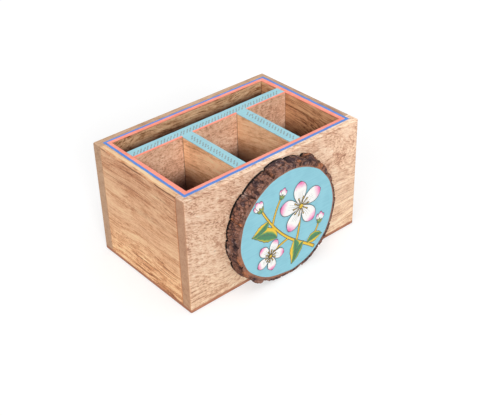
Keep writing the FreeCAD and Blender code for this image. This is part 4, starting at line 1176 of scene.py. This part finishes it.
def sprayStrokes():
    # Every mark of the painting by its paint, from the lowest layer up: an outline of ink under each stem,
    # leaf, petal and stamen, and fine lines over leaves and petals
    marks = {"ink": [], "stem": [], "leaf": [], "vein": [], "petal": [], "stamen": []}
    layers, stations, step = spray["layers"], spray["stations"], spray["step"]

    def paint(kind, path, half, layer):  # a mark and its outline
        marks["ink"].append(outlineStroke(path, half, layer * step))
        marks[kind].append(brushStroke(path, half, (layer + spray["overInk"]) * step))

    def taper(halves, path):  # half width that runs evenly from one end's to the other's
        return np.linspace(*halves, len(path))

    def fineLine(path, halves, layer):  # a thin tapered mark without an outline
        marks["vein"].append(brushStroke(path, taper(halves, path), layer * step))

    for twig in spray["twigs"]:
        path = bezier(twig, stations["twig"])
        paint("stem", path, taper(spray["twigHalf"], path), layers["twig"])
    path = bezier(spray["branch"], stations["branch"])
    paint("stem", path, taper(spray["branchHalf"], path), layers["branch"])
    for base, length, degrees, half, bend in spray["leaves"]:
        path = heading(base, length, degrees, bend, stations["leaf"])
        paint("leaf", path, leafHalf(half, len(path)), layers["leaf"])
        fineLine(path[slice(*spray["veinStations"])], spray["veinHalf"], layers["rib"])
        for station, side in itertools.product(spray["ribStations"], (1, -1)):
            turned = degrees + side * spray["ribTurn"]
            rib = heading(path[station], spray["ribLength"] * half, turned, 0.0, stations["rib"])
            fineLine(rib, spray["ribHalf"], layers["rib"])
    for base, length, degrees in spray["buds"]:
        for turn, share, layer in spray["budPetals"]:
            path = heading(base, share * length, degrees + turn, spray["budBow"] * turn, stations["petal"])
            paint("petal", path, petalHalf(spray["budWidth"] * length, spray["budBlunt"], len(path)), layer)
        for turn in spray["cupTurns"]:
            cup = heading(base, spray["cupLength"] * length, degrees + turn, 0.0, stations["cup"])
            paint("leaf", cup, leafHalf(spray["cupWidth"] * length, len(cup)), layers["cup"])
    for centre, radius, turn in spray["blossoms"]:
        for number in range(spray["petals"]):
            degrees = turn + 360 / spray["petals"] * number
            layer = layers["petal"] + spray["petalRise"] * number
            path = heading(centre, radius, degrees, spray["petalBow"], stations["petal"])
            half = petalHalf(spray["petalWidth"] * radius, spray["petalBlunt"], len(path))
            paint("petal", path, half, layer)
            for side in spray["petalLines"]:
                turned = degrees + spray["lineTurn"] * side
                bow = spray["petalBow"] + spray["lineBow"] * side
                line = heading(centre, spray["lineLength"] * radius, turned, bow, stations["line"])
                fineLine(line[spray["lineFrom"]:], spray["lineHalf"], layer + spray["lineRise"])
        for number in range(spray["stamens"]):
            degrees = turn + 360 / spray["stamens"] * (number + 0.5)
            thread = heading(centre, spray["threadLength"] * radius, degrees, 0.0, stations["thread"])
            paint("stamen", thread, taper(spray["threadHalf"], thread), layers["thread"])
            share, least = spray["tipLength"]
            tip = heading(thread[-1], share * radius + least, degrees, 0.0, stations["tip"])
            paint("stamen", tip, dotHalf(spray["tipHalf"], spray["tipRound"], len(tip)), layers["tip"])
        half = spray["eyeHalf"] * radius
        eye = heading((centre[0] - half, centre[1]), 2 * half, 0, 0.0, stations["eye"])
        paint("stamen", eye, dotHalf(half, spray["eyeRound"], len(eye)), layers["eye"])
    return marks


def sprayMaterial(kind):
    # Petals blush to pink at the tip, leaves run from a green heart to a yellow margin, stems from ochre to
    # yellow, and the other marks vary a little in depth
    material, tree, shader = newMaterial("spray_" + kind)
    grain = noise(objectPlace(tree), sprayLook["grain"])
    uneven = grain * sprayLook["uneven"]
    if kind in sprayLook["plain"]:
        shade = sprayLook["plain"][kind]
        deeper = [sprayLook["deeper"] * part for part in shade]
        reach = grain
        stops = list(zip(sprayLook["plainPlaces"], (shade, deeper)))
    else:
        along, across = attribute(tree, "along"), attribute(tree, "across")
        reach = {"petal": along + uneven - sprayLook["uneven"] / 2,
                 "leaf": abs(across - sprayLook["leafHeart"]) + uneven,
                 "stem": across * sprayLook["stemSlope"] + uneven + sprayLook["stemMiddle"]}[kind]
        stops = [(at, sprayLook["colours"][name]) for at, name in sprayLook[kind]]
    fill(shader, {"Base Color": colourRamp(reach, stops), "Specular IOR Level": sprayLook["specular"],
                  "Roughness": between(grain, *noiseSpan, *sprayLook["roughness"])})
    bump(shader, grain, sprayLook["relief"])
    return material


for kind, strokes in sprayStrokes().items():
    points, faces, along, across = zip(*strokes)
    shades = {"along": np.concatenate(along), "across": np.concatenate(across)}
    addPiece("spray_" + kind, *joinParts(points, faces), sprayMaterial(kind), "motif_paint", shades)
print("spray painted")


# Camera

cameraSetup = {"azimuth": 39.89, "elevation": 34.2, "roll": -1.68, "distance": 882.0, "nearest": 10,
               "slide": (8.45, 25.97), "focalPixels": 919.4, "frameWidth": 480, "sensor": 36.0}


def addCamera():
    # Looks along the photo's direction at the caddy's origin, rolled, then slid sideways and up in its plane
    azimuth, elevation, roll = (math.radians(cameraSetup[k]) for k in ("azimuth", "elevation", "roll"))
    forward = Vector((math.sin(azimuth) * math.cos(elevation), math.cos(azimuth) * math.cos(elevation),
                      -math.sin(elevation)))
    level = forward.cross(Vector((0, 0, 1))).normalized()
    upright = level.cross(forward)
    right = math.cos(roll) * level + math.sin(roll) * upright
    up = math.cos(roll) * upright - math.sin(roll) * level
    slideRight, slideUp = cameraSetup["slide"]
    eye = (right * slideRight + up * slideUp - forward * cameraSetup["distance"]) * mm
    data = bpy.data.cameras.new("camera")
    data.sensor_width = cameraSetup["sensor"]
    data.lens = cameraSetup["sensor"] * cameraSetup["focalPixels"] / cameraSetup["frameWidth"]
    data.clip_start = cameraSetup["nearest"] * mm
    camera = bpy.data.objects.new("camera", data)
    turn = Matrix((right, up, -forward)).transposed().to_4x4()
    camera.matrix_world = Matrix.Translation(eye) @ turn
    bpy.context.scene.collection.objects.link(camera)
    bpy.context.scene.camera = camera


addCamera()


# Floor, sky and lamps

studio = {
    "floorHalf": 6000, "floorGap": 0.05, "floorTone": 0.50, "floorLift": 0.52, "floorRoughness": 0.9,
    "skyLight": 0.40,
    "lamps": {"key_lamp": (1.47, 16, -24, 26), "side_lamp": (0.75, 30, -65, 30),
              "top_lamp": (1.02, 60, 0, 80)},  # strength, angle, heading and height
}


def seenDirectly(tree):  # 1 for rays that show the background itself: camera, mirror and glass rays
    path = addNode(tree, "LightPath")
    kinds = ("Is Camera Ray", "Is Glossy Ray", "Is Transmission Ray")
    camera, mirror, glass = (Wire(path.outputs[kind]) for kind in kinds)
    return calc("ADD", camera, mirror + glass, clamp=True)


def addFloor():
    # A wide square just under the caddy, lifted towards white where it is seen directly
    half, level, tone = studio["floorHalf"] * mm, -studio["floorGap"] * mm, studio["floorTone"]
    corners = [(-half, -half, level), (half, -half, level), (half, half, level), (-half, half, level)]
    mesh = bpy.data.meshes.new("floor")
    mesh.from_pydata(corners, [], [(0, 1, 2, 3)])
    material, tree, shader = newMaterial("pale_floor")
    fill(shader, {"Base Color": (tone, tone, tone, 1), "Roughness": studio["floorRoughness"],
                  "Specular IOR Level": 0.0, "Emission Color": (1, 1, 1, 1),
                  "Emission Strength": seenDirectly(tree) * studio["floorLift"]})
    mesh.materials.append(material)
    floor = bpy.data.objects.new("floor", mesh)
    bpy.context.scene.collection.objects.link(floor)


def addSky():
    # White where it is seen directly, and a soft light on the caddy
    world = bpy.data.worlds.new("soft_sky")
    world.use_nodes = True
    tree = world.node_tree
    tree.nodes.clear()
    strength = between(seenDirectly(tree), 0.0, 1.0, studio["skyLight"], 1.0)
    background = addNode(tree, "Background", ((1, 1, 1, 1), strength))
    addNode(tree, "OutputWorld", (Wire(background.outputs[0]),))
    bpy.context.scene.world = world


def addLamp(name, strength, angle, turned, height):
    # Soft sun from a heading off the front, to the right where it is positive, and a height, both in degrees
    lamp = bpy.data.lights.new(name, "SUN")
    lamp.energy = strength
    lamp.angle = math.radians(angle)
    turn, lift = math.radians(turned), math.radians(height)
    toward = Vector((math.sin(turn) * math.cos(lift), -math.cos(turn) * math.cos(lift), math.sin(lift)))
    holder = bpy.data.objects.new(name, lamp)
    holder.rotation_euler = toward.to_track_quat("Z", "Y").to_euler()
    bpy.context.scene.collection.objects.link(holder)


addFloor()
addSky()
for lampName, lampValues in studio["lamps"].items():
    addLamp(lampName, *lampValues)
bpy.context.scene.view_settings.view_transform = "Standard"

print("scene ready")
